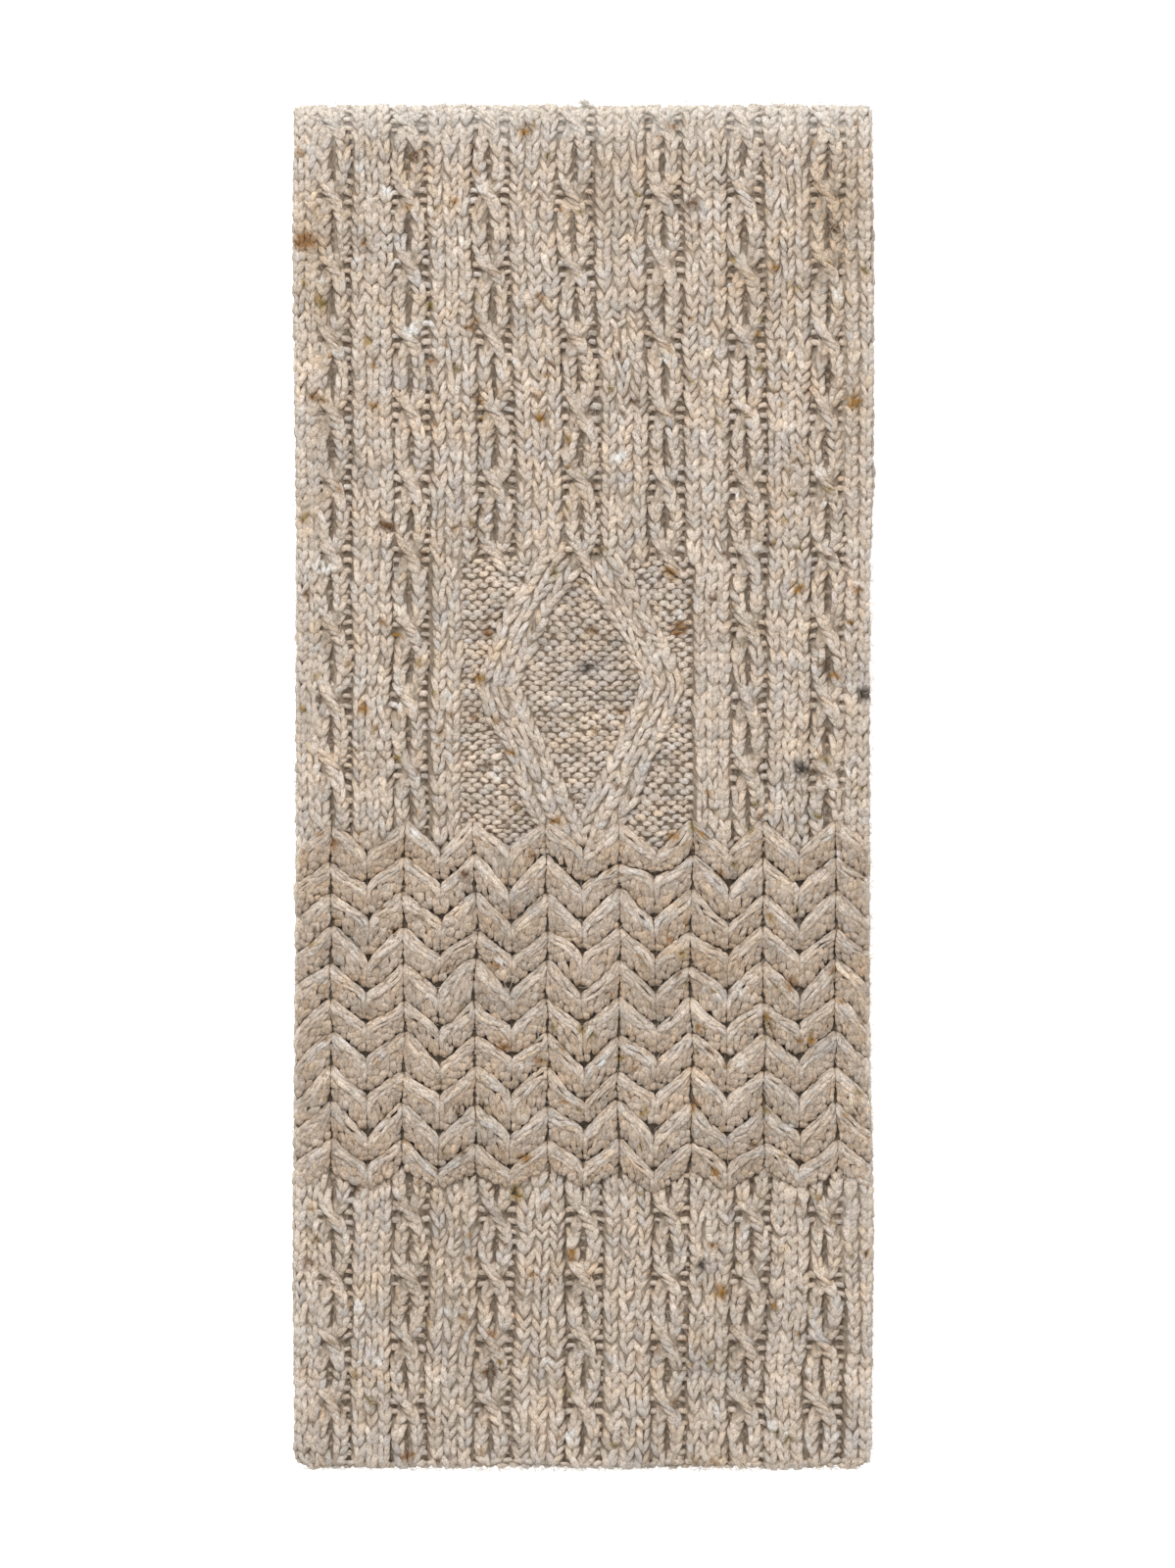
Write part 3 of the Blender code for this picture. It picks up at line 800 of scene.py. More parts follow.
def fibre_places(centre, radius, section, rng):
    """Places along the strands and round them, twisted, in mm, for their rings and tips."""
    steps = np.linalg.norm(np.diff(centre, axis=1), axis=-1)
    run = np.pad(np.cumsum(steps, axis=1), ((0, 0), (1, 0))) / MM
    run = run + rng.uniform(0.0, FIBRE_START, (len(centre), 1))
    twist = section + YARN_TWIST * (run - run[:, :1])[..., None]
    thick = np.maximum(radius, THINNEST_YARN * radius.max())[..., None] / MM
    skin = stacked(run[..., None], thick * np.cos(twist), thick * np.sin(twist))
    tips = stacked(run[:, [0, -1]] + (-1.0, 1.0), 0.0, 0.0)
    return np.concatenate([skin.reshape(len(centre), -1, 3), tips], axis=1)


def add_map(mesh, count, aspect, maps):
    """Gives each strand its own cell on the map, in a grid with that aspect of its cells."""
    columns = math.ceil(math.sqrt(count * aspect))
    cell = stacked(*np.divmod(np.arange(count), columns)[::-1])[:, None, None]
    size = (columns, math.ceil(count / columns))
    inside = 1.0 - 2.0 * MAP_MARGIN
    corners = [((cell + MAP_MARGIN + inside * part) / size).reshape(-1, 2) for part in maps]
    layer = mesh.uv_layers.new(name="OFBake")
    layer.uv.foreach_set("vector", np.concatenate(corners).astype(np.float32).ravel())


def yarn_piece(name, strands, place, rng, section=YARN_SECTION, tints=None):
    """Joins strands of yarn, each a row of rings and two tips, into one mesh."""
    count, rings = strands["x"].shape
    sides = len(section)
    centre, local = tube_points(strands, section)
    x, along, height = (local[..., axis] for axis in range(3))
    fibres = fibre_places(centre, strands["radius"], section, rng)
    if tints is None:
        # Painted shade: wool lower than its strand's crest, or with an extra shade depth, is
        # coloured darker and browner, less near the fold.
        crest = np.repeat(strands["crest"], sides, axis=1)
        crest = np.concatenate([crest, strands["crest"][:, [0, -1]]], axis=1)
        shade_depth = (crest - height) * (1.0 - FOLD_UNSHADED * near_fold(along))
        tint = yarn_tint(x, along, rng)
        tint = tint * mixed(1.0, PAINTED_SHADE_COLOUR, ease(PAINTED_SHADE_START, PAINTED_SHADE_END, shade_depth)[..., None])
        if place is front_place:
            add_flecks(tint, x, along, rng)
    else:
        tint = tints(local)
    (quads, quad_map), (tips, tip_map) = tube_faces(rings, sides)
    offset = (np.arange(count) * local.shape[1])[:, None, None]
    faces = [(quads + offset).reshape(-1, 4), (tips + offset).reshape(-1, 3)]
    piece = new_piece(
        name, place(x, along, height).reshape(-1, 3), faces,
        ("fibre_place", fibres.reshape(-1, 3)), ("yarn_tint", tint.reshape(-1, 3)),
    )
    add_map(piece.data, count, (rings + 1) / sides, (quad_map, tip_map))
    return piece


# Stitches.

def spread(rng, kind, count):
    return rng.normal(0.0, UNEVEN[kind], (count, 1))


def plump_yarn(leg, yarn, x, along, rng):
    """Radius of a stitch's yarn at its rings."""
    plump = 1.0 + spread(rng, "plump", len(x)) + PLUMP_SHARE * PLUMP_DRIFT(x, along)
    return yarn * np.array(leg["radius"]) * plump


def laid(leg, yarn, x, along, crest, extra_shade_depth, radius):
    """Strands with one row of rings for each, their tops at the given crest.

    They have places, radii, the height their painted shade is measured from (their highest crest
    raised by an extra shade depth), and how far their tips reach out.
    """
    return {
        "x": x,
        "along": along,
        "height": crest - YARN_FLATNESS * yarn - MM * np.array(leg["depth"]),
        "radius": radius,
        "crest": crest.max(axis=1, keepdims=True) + extra_shade_depth + 0.0 * x,
        "tip": YARN_TIP * radius[:, :1],
    }


def joins(make):
    """Lets a function yield strands one after another, and returns them joined."""
    def join(*given, **options):
        parts = list(make(*given, **options))
        return {key: np.concatenate([part[key] for part in parts]) for key in parts[0]}

    return join


def courses_between(start, end, first, pitch):
    """Middles of the courses from start to end on the grid through first."""
    low = math.ceil((start - first) / pitch)
    high = math.floor((end - first) / pitch)
    return first + pitch * np.arange(low, high + 1)


@joins
def knit_wale(
    track, courses, lift, rng, wale=WALE, course=COURSE, yarn=YARN, offset=0.0, leg=LEG,
    extra_shade_depth=0.0, ragged=1.0, keep=None,
):
    """A column of knit stitches: two legs for each course, leaning into a V.

    track gives its centre line and lift its crest's height at a place and an offset from the
    line. The extra shade depth adds painted shade to the legs, or gives that at a place, ragged
    makes the legs more uneven, and keep bends them back inside a form's outline.
    """
    count = len(courses)
    step = TRACK_STEP
    stitch_shift, stitch_slip, rise = (
        spread(rng, kind, count) for kind in ("along", "aside", "rise")
    )
    share = np.array(leg["along"])
    for side in (-1.0, 1.0):
        length = 1.0 + spread(rng, "length", count)
        shift = stitch_shift + LEG_SHIFT * spread(rng, "along", count)
        line = courses[:, None] + (share * length + shift) * course
        aside = side * np.array(leg["aside"]) + stitch_slip
        aside = aside + ragged * spread(rng, "aside", count)
        aside = aside + ragged * spread(rng, "lean", count) * share
        sideways = offset + aside * wale
        slope = (track(line + step) - track(line - step)) / (2.0 * step)
        steep = np.sqrt(1.0 + slope ** 2)
        x = track(line) + sideways / steep
        along = line - sideways * slope / steep
        if keep is not None:
            x, along = keep(x, along)
        radius = plump_yarn(leg, yarn, x, along, rng)
        # Painted shade only: the legs stay where they are.
        below = extra_shade_depth(x, along) if callable(extra_shade_depth) else extra_shade_depth
        yield laid(leg, yarn, x, along, lift(x, along, sideways) + rise, below, radius)


def purl_beads(x, along, width, course, lift, rng, yarn=PURL_YARN, arch=1.0, extra_shade_depth=0.0):
    """Purl bumps that lie across the wales, one at each place; arch bends them up or down."""
    count = len(x)
    length = 1.0 + spread(rng, "length", count)
    tilt = spread(rng, "tilt", count)
    share = np.array(BEAD["aside"])
    x = x[:, None] + (share * length + spread(rng, "aside", count)) * width
    bend = arch * (1.0 + BEAD_BEND * spread(rng, "length", count)) * np.array(BEAD["along"])
    shift = BEAD_SHIFT * spread(rng, "along", count)
    along = along[:, None] + (bend + tilt * share + shift) * course
    radius = plump_yarn(BEAD, yarn, x, along, rng)
    crest = lift(x, along) + spread(rng, "rise", count)
    # Beads given an extra shade depth get more painted shade.
    return laid(BEAD, yarn, x, along, crest, extra_shade_depth, radius)


@joins
def rib_stitches(zone_name, rng):
    """The ribs between the cables of a zone."""
    zone = ZONES[zone_name]
    ribs = DIAMOND_RIBS if zone_name == "diamond" else WHOLE_RIBS
    for index, (wales, first, last) in ribs.items():
        shift = 0.5 * zone.course * (index % 2)
        courses = courses_between(zone.start, zone.end, zone.first + shift, zone.course)
        left, right = rib_edges(index, 0.5 * (zone.start + zone.end), first, last)

        def lift(x, along, _):
            return tucked(x, along, rib_crest(x, *rib_edges(index, along, first, last)))

        for wale in range(wales):

            def track(along):
                left, right = rib_edges(index, along, first, last)
                return left + (wale + 0.5) / wales * (right - left)

            width = (right - left) / wales
            yield knit_wale(track, courses, lift, rng, width, zone.course)


@joins
def along_cables(make, rng):
    """Stitches made along each cable of each zone."""
    for zone_name, zone in ZONES.items():
        for number, name in enumerate(CABLE_NAMES):
            if zone_name != "diamond" or number in DIAMOND_CABLES:
                yield make(name, zone, rng)


@joins
def cable_stitches(name, zone, rng):
    """The two one-wale strands of a small cable, and the strokes over its crossings."""
    courses = courses_between(zone.start, zone.end, zone.first, zone.course)
    crossing = np.round((courses - zone.first) / zone.repeat)
    away = np.abs(courses - zone.first - crossing * zone.repeat)
    for strand in (1.0, -1.0):

        def track(along):
            return cable_centre(name, along) + strand * cable_swing(along, zone)

        def lift(x, along, sideways):
            height = cable_lift(along, zone, strand)
            return tucked(x, along, round_strand(sideways, CABLE_STRAND, height))

        # Painted shade on the strand where it dips under the other one.
        def extra_shade_depth(_, along):
            return UNDER_SHADE * (CABLE_HEIGHT - cable_lift(along, zone, strand))

        # The strokes stand for the upper strand's stitches at a crossing.
        over = strand * np.cos(np.pi * crossing) < 0.0
        shown = courses[away > np.where(over, CROSSING_REACH, UNDER_REACH)]
        yield knit_wale(track, shown, lift, rng, CABLE_WALE, zone.course, extra_shade_depth=extra_shade_depth)
    yield crossing_strokes(name, zone, rng)


@joins
def crossing_strokes(name, zone, rng):
    """Parallel legs of the upper strand where it crosses from left to right, downwards."""
    share = np.array(STROKE["aside"])
    radius, tip = STROKE_YARN * np.array([STROKE["radius"]]), STROKE_YARN * np.array([[STROKE_TIP]])
    for middle in courses_between(zone.start, zone.end, zone.first, zone.repeat):
        for across, along, half, depth in zip(*STROKES.values()):
            centre = cable_centre(name, middle + along * MM) + across * MM
            half = half * rng.uniform(*STROKE_UNEVEN["half"]) * MM
            x = centre + rng.normal(0.0, STROKE_UNEVEN["shift"]) * MM + half * share[None]
            steep = STROKE_STEEP * rng.uniform(*STROKE_UNEVEN["steep"])
            bow = STROKE_BOW * (1.0 - share ** 2)
            shift = rng.normal(0.0, STROKE_UNEVEN["shift"])
            down = middle + (along + shift) * MM - steep * half * share[None] + bow
            crest = tucked(x, down, CABLE_HEIGHT - depth * MM)
            crest = crest + rng.normal(0.0, UNEVEN["rise"])
            yield {**laid(STROKE, STROKE_YARN, x, down, crest, STROKE_SHADE, radius), "tip": tip}


@joins
def ladder_beads(name, zone, rng):
    """Purl bars beside a cable and, lower and with more painted shade, in its holes."""
    first = zone.first + 0.5 * zone.course
    courses = courses_between(zone.start, zone.end, first, zone.course)
    half = zone.repeat / 2
    near = np.abs(np.mod(courses - zone.first + half, zone.repeat) - half) < LADDER_CROSSING
    for aside, width, height, shade, at_crossings, between in LADDERS.values():
        shown = courses[np.where(near, at_crossings, between)]
        yield purl_beads(
            cable_centre(name, shown) + aside * MM, shown, width * MM, zone.course,
            level(height * MM), rng, yarn=LADDER_YARN, extra_shade_depth=shade * MM,
        )


@joins
def edge_wales(rng):
    """The wales along both side edges, which turn down round the sides."""
    lift = level(EDGE_RIB_HEIGHT)
    for name, side in SIDES.items():
        inner = EDGE_RIBS[name]
        for start, end, first, _, course in ZONES.values():
            courses = courses_between(start, end, first + 0.25 * course, course)
            for wale in range(EDGE_WALES):

                def track(along):
                    outer = side * half_width(name, np.maximum(along, CORNER_RADIUS))
                    step = (outer - inner) / EDGE_WALES_FLAT
                    return inner + side * EDGE_GAP + (wale + 0.5) * step

                yield knit_wale(track, courses, lift, rng, EDGE_WALE, course)
        courses = courses_between(END_PANEL_TOP, CHEVRON_TOP, CHEVRON_FIRST, COURSE)
        yield knit_wale(
            lambda along: side * (half_width(name, along) + OUTER_WALE), courses, lift, rng,
            EDGE_WALE,
        )


@joins
def diamond_bands(rng):
    """The two bands of three wales that frame the diamond."""
    start, end = CHEVRON_LAST - BAND_BELOW, DIAMOND_TOP + BAND_ABOVE
    courses = courses_between(start, end, CABLE_FIRST, COURSE)

    def lift(x, along, sideways):
        return tucked(x, along, crown(sideways / (DIAMOND_BAND + BAND_ROUND), DIAMOND_HEIGHT))

    for side in SIDES.values():
        for wale in (-1.0, 0.0, 1.0):
            yield knit_wale(
                lambda along: DIAMOND_CENTRE + side * diamond_offset(along), courses, lift,
                rng, BAND_WALE, offset=BAND_PITCH * wale,
            )


@joins
def purl_field(rng):
    """Purl rows of the diamond panel, left out where the bands cover them."""
    start, end = CHEVRON_LAST - FIELD_BELOW, DIAMOND_TOP + FIELD_ABOVE
    rows = courses_between(start, end, CABLE_FIRST + 0.5 * COURSE, COURSE)
    wales = round((FIELD_RIGHT - FIELD_LEFT) / WALE)
    pitch = (FIELD_RIGHT - FIELD_LEFT) / wales
    for way, half in PURL_PAIR:
        x, along = np.meshgrid(
            FIELD_LEFT + pitch * (np.arange(wales) + half), rows + way * FIELD_SHIFT * COURSE
        )
        shown = from_band(x, along) > DIAMOND_BAND - FIELD_UNDER_BAND
        yield purl_beads(
            x[shown], along[shown], pitch * PURL_LENGTH, COURSE, level(FIELD_LEVEL), rng,
            arch=way * FIELD_ARCH, extra_shade_depth=FIELD_SHADE,
        )


@joins
def chevron_limb(rope, middle, rng):
    """A slanting ribbon of long stitches over the uneven ones that fill the limb below it."""
    left = -WIDTH / 2 + rope * CHEVRON_ROPE
    lean, peak = (1.0, left) if rope % 2 else (-1.0, left + CHEVRON_ROPE)

    def ribbon_track(along):
        return peak + lean * (middle + RIBBON_TOP - along) * CHEVRON_ROPE / CHEVRON_RISE

    def ribbon_lift(x, along, sideways):
        share = np.interp((along - middle) / MM, *RIBBON_ARCH.values())
        crest = round_strand(sideways, RIBBON_HALF, CHEVRON_HEIGHT)
        return settle(x, along, CHEVRON_GROUND + crest * share)

    def depth(x, along):
        return (chevron_upper_edge(x, middle) - along) / MM

    def body_lift(x, along, _):
        share = np.interp(depth(x, along), *BODY_PROFILE.values())
        crest = round_strand(x - left - 0.5 * CHEVRON_ROPE, BODY_HALF, CHEVRON_HEIGHT)
        return settle(x, along, CHEVRON_GROUND + crest * share)

    # Painted shade on the body, by its depth below the row's upper edge.
    def body_extra_shade(x, along):
        return MM * np.interp(depth(x, along), *BODY_SHADE.values())

    keep = kept_in_limb(
        rope, lambda x: middle - CHEVRON_REPEAT, lambda x: chevron_crease(x, middle) - RIBBON_CLEAR
    )
    courses = np.arange(middle + RIBBON_START, middle + RIBBON_END, RIBBON_PITCH)
    for aside in (-0.5 * RIBBON_WALE, 0.5 * RIBBON_WALE):
        yield knit_wale(
            ribbon_track, courses, ribbon_lift, rng, RIBBON_WALE, RIBBON_STITCH, RIBBON_YARN,
            aside, RIBBON_LEG, RIBBON_SHADE, RIBBON_RAGGED, keep,
        )
    keep = kept_in_limb(
        rope, lambda x: chevron_lower_edge(x, middle) + BODY_CLEAR,
        lambda x: chevron_crease(x, middle),
    )
    width = CHEVRON_ROPE / BODY_WALES
    for wale in range(BODY_WALES):
        x = left + (wale + 0.5) * width
        low = float(chevron_lower_edge(x, middle)) + BODY_START
        high = float(chevron_crease(x, middle)) + BODY_END
        courses = np.arange(low, high, BODY_PITCH)
        if len(courses) > 0:
            yield knit_wale(
                lambda along: x - lean * BODY_SLANT * (along - 0.5 * (low + high)), courses,
                body_lift, rng, width, CHEVRON_COURSE, BODY_YARN, leg=BODY_LEG,
                extra_shade_depth=body_extra_shade, ragged=BODY_RAGGED, keep=keep,
            )


@joins
def chevron_stitches(ropes, rng):
    """Some of the chevron ropes, each a column of limbs that slant one way."""
    rows = courses_between(CHEVRON_FIRST, CHEVRON_LAST, CHEVRON_FIRST, CHEVRON_REPEAT)
    for rope in ropes:
        for middle in rows:
            yield chevron_limb(rope, middle, rng)


@joins
def selvedge(side, courses, rng):
    """Two wales round one side edge of a hidden layer."""
    for turns in SELVEDGE_TURNS:
        arc = side * turns * 0.5 * np.pi * SELVEDGE_RADIUS
        yield knit_wale(
            lambda along: np.full_like(along, arc), courses, plain(SELVEDGE_RADIUS), rng,
            SELVEDGE_WALE, COURSE, SELVEDGE_YARN,
        )


def selvedges(rng):
    """Names, stitches and places of the selvedges on the side edges of the hidden layers."""
    for layer in (0, 1):
        for name, side in SIDES.items():
            first = BACK_FOLD_Y + LENGTH / 2 + SELVEDGE_START[layer]
            courses = np.arange(first, FLAT_RUN - SELVEDGE_END, COURSE)

            def place(arc, along, height, side=side, name=name, layer=layer):
                angle = arc / SELVEDGE_RADIUS
                reach = np.clip(along, CORNER_RADIUS, LENGTH)
                middle = half_width(name, reach) - HIDDEN_INSET - SELVEDGE_RADIUS
                x = side * middle + height * np.sin(angle)
                z = (layer + 0.5) * LAYER + height * np.cos(angle)
                return stacked(x, along - LENGTH / 2, z)

            yield f"yarn_layer_{layer + 1}_{name}", selvedge(side, courses, rng), place


@joins
def back_fold_beads(rng):
    """Purl bumps over the hidden layers' fold at -Y."""
    x = np.arange(-WIDTH / 2 + BEAD_INSET, WIDTH / 2 - BACK_INSET, WALE)
    for row in range(BACK_ROWS):
        for way, half in PURL_PAIR:
            along = (row + BACK_FIRST + way * BACK_SHIFT) * COURSE * BACK_PITCH
            yield purl_beads(
                x + half * WALE, np.full_like(x, along), WALE * PURL_LENGTH, COURSE,
                plain(LAYER + BACK_RAISED), rng, arch=way,
            )


@joins
def cast_on_beads(rng):
    """The edge of the free end: slanting bumps in two rows."""
    x = np.arange(-WIDTH / 2 + BEAD_INSET, WIDTH / 2 - CAST_ON_INSET, WALE * CAST_ON_PITCH)
    for along, shift, slant in zip(*CAST_ON.values()):
        beads = purl_beads(
            x + shift * WALE, np.full_like(x, along * MM), WALE, COURSE, plain(CAST_ON_HEIGHT),
            rng,
        )
        middle = beads["x"].mean(axis=1, keepdims=True)
        beads["along"] = beads["along"] + slant * (beads["x"] - middle)
        yield beads


# Shells under the yarn.

def relief(x, along):
    """Height of the ribs, cables and bands over the ground; none in the chevrons."""
    in_panels = (along > DIAMOND_TOP) | (along < END_PANEL_TOP)
    in_diamond = (x > FIELD_LEFT) & (x < FIELD_RIGHT) & ~in_panels
    crests = [
        np.where(in_diamond, 0.0, rib_crest(x, *rib_edges(index, along))) for index in WHOLE_RIBS
    ]
    for zone, chosen in (
        (ZONES["end"], along < END_PANEL_TOP), (ZONES["long"], along > CHEVRON_TOP),
    ):
        for name in CABLE_NAMES:
            for strand in (1.0, -1.0):
                offset = x - cable_centre(name, along) - strand * cable_swing(along, zone)
                crest = round_strand(offset, CABLE_STRAND, CABLE_HEIGHT)
                crests.append(np.where(chosen & ~in_diamond, crest, 0.0))
    band = crown(from_band(x, along) / DIAMOND_BAND, DIAMOND_HEIGHT)
    crests.append(np.where(in_diamond, band, 0.0))
    lift = np.max(crests, axis=0) * (1.0 - panel(END_PANEL_TOP, CHEVRON_TOP, along))
    edge = (x < EDGE_RIBS["left"]) | (x > EDGE_RIBS["right"])
    return np.maximum(lift, np.where(edge, EDGE_RIB_HEIGHT, 0.0))


def ring_loft(name, rings, places, tint):
    """A closed wall through rings with the same number of points, capped at both ends."""
    rings = np.asarray(rings)
    rows, count, _ = rings.shape
    index = np.arange(rows * count).reshape(rows, count)
    after = np.roll(index, -1, axis=1)
    quads = stacked(index[:-1], after[:-1], after[1:], index[1:]).reshape(-1, 4)
    caps = np.stack([index[0, ::-1], index[-1]])
    layers = ("cloth_place", places), ("shell_shade_and_light_tint", tint)
    return new_piece(name, rings.reshape(-1, 3), [quads, caps], *layers)


def front_shell():
    """The thin wall of the front stretch, from its free end round the fold."""
    steps = np.arange(1, SHELL_FOLD_ROWS + 1) / SHELL_FOLD_ROWS
    flat = np.linspace(END_TURN, FLAT_RUN, SHELL_ROWS)
    rings, places = [], []
    for row in np.concatenate([SHELL_END_ROWS, flat, FLAT_RUN + FOLD_RUN * np.pi * steps]):
        low, high = -half_width("left", row) + SHELL_INSET, half_width("right", row) - SHELL_INSET
        x = np.linspace(low, high, SHELL_COLUMNS)
        along = np.full_like(x, row)
        edge = np.clip(np.minimum(x - low, high - x) / SHELL_ROUND, 0.0, 1.0)
        height = settle(x, along, SHELL_RELIEF * relief(x, along)) - SHELL_UNDER
        height = height * mixed(SHELL_SIDE, 1.0, np.sqrt(edge * (2.0 - edge)))
        x = np.concatenate([x, np.linspace(high, low, SHELL_INNER_COLUMNS)])
        height = np.concatenate([height, np.zeros(SHELL_INNER_COLUMNS)])
        rings.append(stacked(x, *round_fold(row, height)))
        places.append(stacked(x / MM, row / MM, 0.0))
    places = np.concatenate(places)
    x, along = places[:, [0]] * MM, places[:, [1]] * MM
    # Painted shade: the shell only shows between the stitches, darker where it lies in the grooves
    # and lighter under the ribs; towards the fold painted light makes it pale.
    tint = mixed(GROOVE_SHADE_COLOUR, SHELL_SHADE_COLOUR, np.clip(relief(x, along) / RIB_HEIGHT, 0.0, 1.0))
    tint = mixed(tint, FOLD_SHELL_LIT_COLOUR, FOLD_SHELL_PALE * near_fold(along))
    return ring_loft("front_shell", rings, places, tint)


def hidden_shell():
    """The middle and lower layers as one thin wall, folded at -Y."""
    turns = np.pi * np.arange(1, HIDDEN_FOLD_ROWS) / HIDDEN_FOLD_ROWS
    y = np.concatenate([
        np.linspace(HIDDEN_UPPER_END, BACK_FOLD_Y, HIDDEN_ROWS),
        BACK_FOLD_Y - 0.5 * LAYER * np.sin(turns),
        np.linspace(BACK_FOLD_Y, HIDDEN_LOWER_END, HIDDEN_ROWS),
    ])
    turn = np.concatenate([np.zeros(HIDDEN_ROWS), turns, np.full(HIDDEN_ROWS, np.pi)])
    z = LAYER + 0.5 * LAYER * np.cos(turn)
    travelled = np.cumsum(np.hypot(np.diff(y, prepend=y[0]), np.diff(z, prepend=z[0])))
    side = HIDDEN_SIDE_STEPS
    share = np.sqrt(1.0 - (1.0 - side / side[-1]) ** 2)
    share = np.maximum(share, HIDDEN_SIDE_SHARE)
    share = 0.5 * HIDDEN_WALL * np.concatenate([share, np.ones(HIDDEN_COLUMNS), share[::-1]])
    rings, places = [], []
    for row in range(len(y)):
        along = min(max(y[row] + LENGTH / 2, CORNER_RADIUS), LENGTH)
        left, right = (
            half_width(name, along) - HIDDEN_INSET - HIDDEN_YARN_GAP for name in SIDES
        )
        flat = np.linspace(-left + HIDDEN_FLAT_START, right - HIDDEN_FLAT_START, HIDDEN_COLUMNS)
        x = np.concatenate([-left + side, flat, (right - side)[::-1]])
        half = share * (HIDDEN_END_SHARE if row in (0, len(y) - 1) else 1.0)
        half = np.concatenate([half, -half[::-1]])
        face_y, face_z = y[row] - half * np.sin(turn[row]), z[row] + half * np.cos(turn[row])
        rings.append(stacked(np.concatenate([x, x[::-1]]), face_y, face_z))
        # The knit relief counts its wales from the other side edge.
        across = np.concatenate([x[::-1], x]) / MM
        places.append(stacked(across, travelled[row] / MM, 1.0))
    places = np.concatenate(places[::-1])
    # Painted shade: the hidden shell only shows between the stitches of the selvedges and the fold,
    # all in one darker colour.
    return ring_loft("hidden_shell", rings[::-1], places, np.array(INNER_SHADE_COLOUR) + 0.0 * places)


# Loose fibres.

def curled_fibres(x, y, heading, length, curl):
    """Strands of fine fibres through their middles, but for their heights."""
    run = np.array((-0.25, 0.0, 0.25)) * length[:, None]
    bend = 0.5 * (curl / length)[:, None] * run ** 2
    heading = heading[:, None]
    return {
        "x": x[:, None] + run * np.cos(heading) - bend * np.sin(heading),
        "along": y[:, None] + run * np.sin(heading) + bend * np.cos(heading),
        "radius": np.broadcast_to(FIBRE_RADIUS * np.array((0.8, 1.0, 0.8)), run.shape),
        "tip": 0.25 * length[:, None],
    }


def face_fibres(rng):
    """Fine loose fibres that lie over the stitches of the face."""
    count, inset = FACE["count"], FACE["inset"] * MM
    x = rng.uniform(-WIDTH / 2 + inset, WIDTH / 2 - inset, count)
    along = rng.uniform(inset, FLAT_RUN + FACE["past_fold"] * MM, count)
    heading = rng.uniform(0.0, 2.0 * np.pi, count)
    length = rng.uniform(*FACE["length"], count) * MM
    fibres = curled_fibres(x, along, heading, length, rng.normal(0.0, FACE["curl"], count))
    chevrons = panel(END_PANEL_TOP, CHEVRON_TOP, along) * (CHEVRON_GROUND + CHEVRON_HEIGHT)
    face = settle(x, along, np.maximum(relief(x, along), chevrons))[:, None]
    slope = rng.normal(0.0, FACE["slope"], (count, 3))
    fibres["height"] = face + (rng.uniform(*FACE["rise"], (count, 1)) + slope) * MM
    return fibres


def outline_fibres(rng):
    """Fine fibres that stand out past the outline, in the row frame."""
    count = OUTLINE["count"]
    side = rng.choice(4, count, p=OUTLINE_SIDES["share"])
    out_x, out_y = (np.array(OUTLINE_SIDES[axis])[side] for axis in "xy")
    low_x, low_y = -WIDTH / 2 + OUTLINE["inset"] * MM, -LENGTH / 2 + OUTLINE["inset"] * MM
    x = rng.uniform(low_x, -low_x, count) * (out_x == 0)
    y = rng.uniform(low_y, LENGTH / 2 - OUTLINE["top_inset"] * MM, count) * (out_y == 0)
    tuft = (out_y > 0) & (rng.random(count) < TUFT["share"])
    x = np.where(tuft, rng.normal(TUFT["middle"], TUFT["spread"], count) * MM, x)
    reach = rng.uniform(*OUTLINE["reach"], count) * MM
    x = x + out_x * (WIDTH / 2 + reach)
    y = y + out_y * (LENGTH / 2 + reach)
    length = rng.uniform(*OUTLINE["length"], count) * MM
    heading = np.arctan2(out_y, out_x) + rng.normal(0.0, OUTLINE["turn"], count)
    fibres = curled_fibres(x, y, heading, length, rng.normal(0.0, OUTLINE["curl"], count))
    rise = rng.uniform(*OUTLINE["rise"], (count, 1))
    slope = rng.normal(0.0, OUTLINE["slope"], (count, 3))
    fibres["height"] = FRONT_INSIDE + (rise + slope) * MM
    return fibres


def fibre_tints(rng, dark_share, base):
    """Pale fibres, with a share of darker ones."""
    def tints(local):
        shade = rng.uniform(*FIBRE_SHADE, (len(local), 1, 1))
        dark = rng.random((len(local), 1, 1)) < dark_share
        shade = np.where(dark, DARK_FIBRE * shade, shade)
        return np.clip(np.array(base) * shade * np.ones(local.shape), 0.0, 0.9)

    return tints


# Materials.

def set_inputs(tree, node, inputs):
    """Gives a node's inputs, by name or number, values or other nodes' sockets."""
    for key, value in inputs.items():
        if isinstance(value, bpy.types.NodeSocket):
            tree.links.new(value, node.inputs[key])
        else:
            node.inputs[key].default_value = value


def add_node(tree, kind, inputs, output=0, **settings):
    """Adds a node and returns one of its outputs, by name or number."""
    node = tree.nodes.new("ShaderNode" + kind)
    for key, value in settings.items():
        setattr(node, key, value)
    set_inputs(tree, node, inputs)
    return node.outputs[output]


def attribute(tree, name, output):
    return add_node(tree, "Attribute", {}, output, attribute_name=name)


def calc(tree, operation, *values):
    return add_node(tree, "Math", dict(enumerate(values)), operation=operation)


def multiplied(tree, first, second):
    inputs = {0: 1.0, 6: first, 7: second}
    return add_node(tree, "Mix", inputs, 2, data_type="RGBA", blend_type="MULTIPLY")


def ramp(tree, value, stops):
    """A colour ramp through (position, colour) stops."""
    colour = add_node(tree, "ValToRGB", {"Fac": value})
    elements = colour.node.color_ramp.elements
    while len(elements) < len(stops):
        elements.new(0.5)
    for element, (position, shade) in zip(elements, stops):
        element.position = position
        element.color = (*shade, 1.0)
    return colour


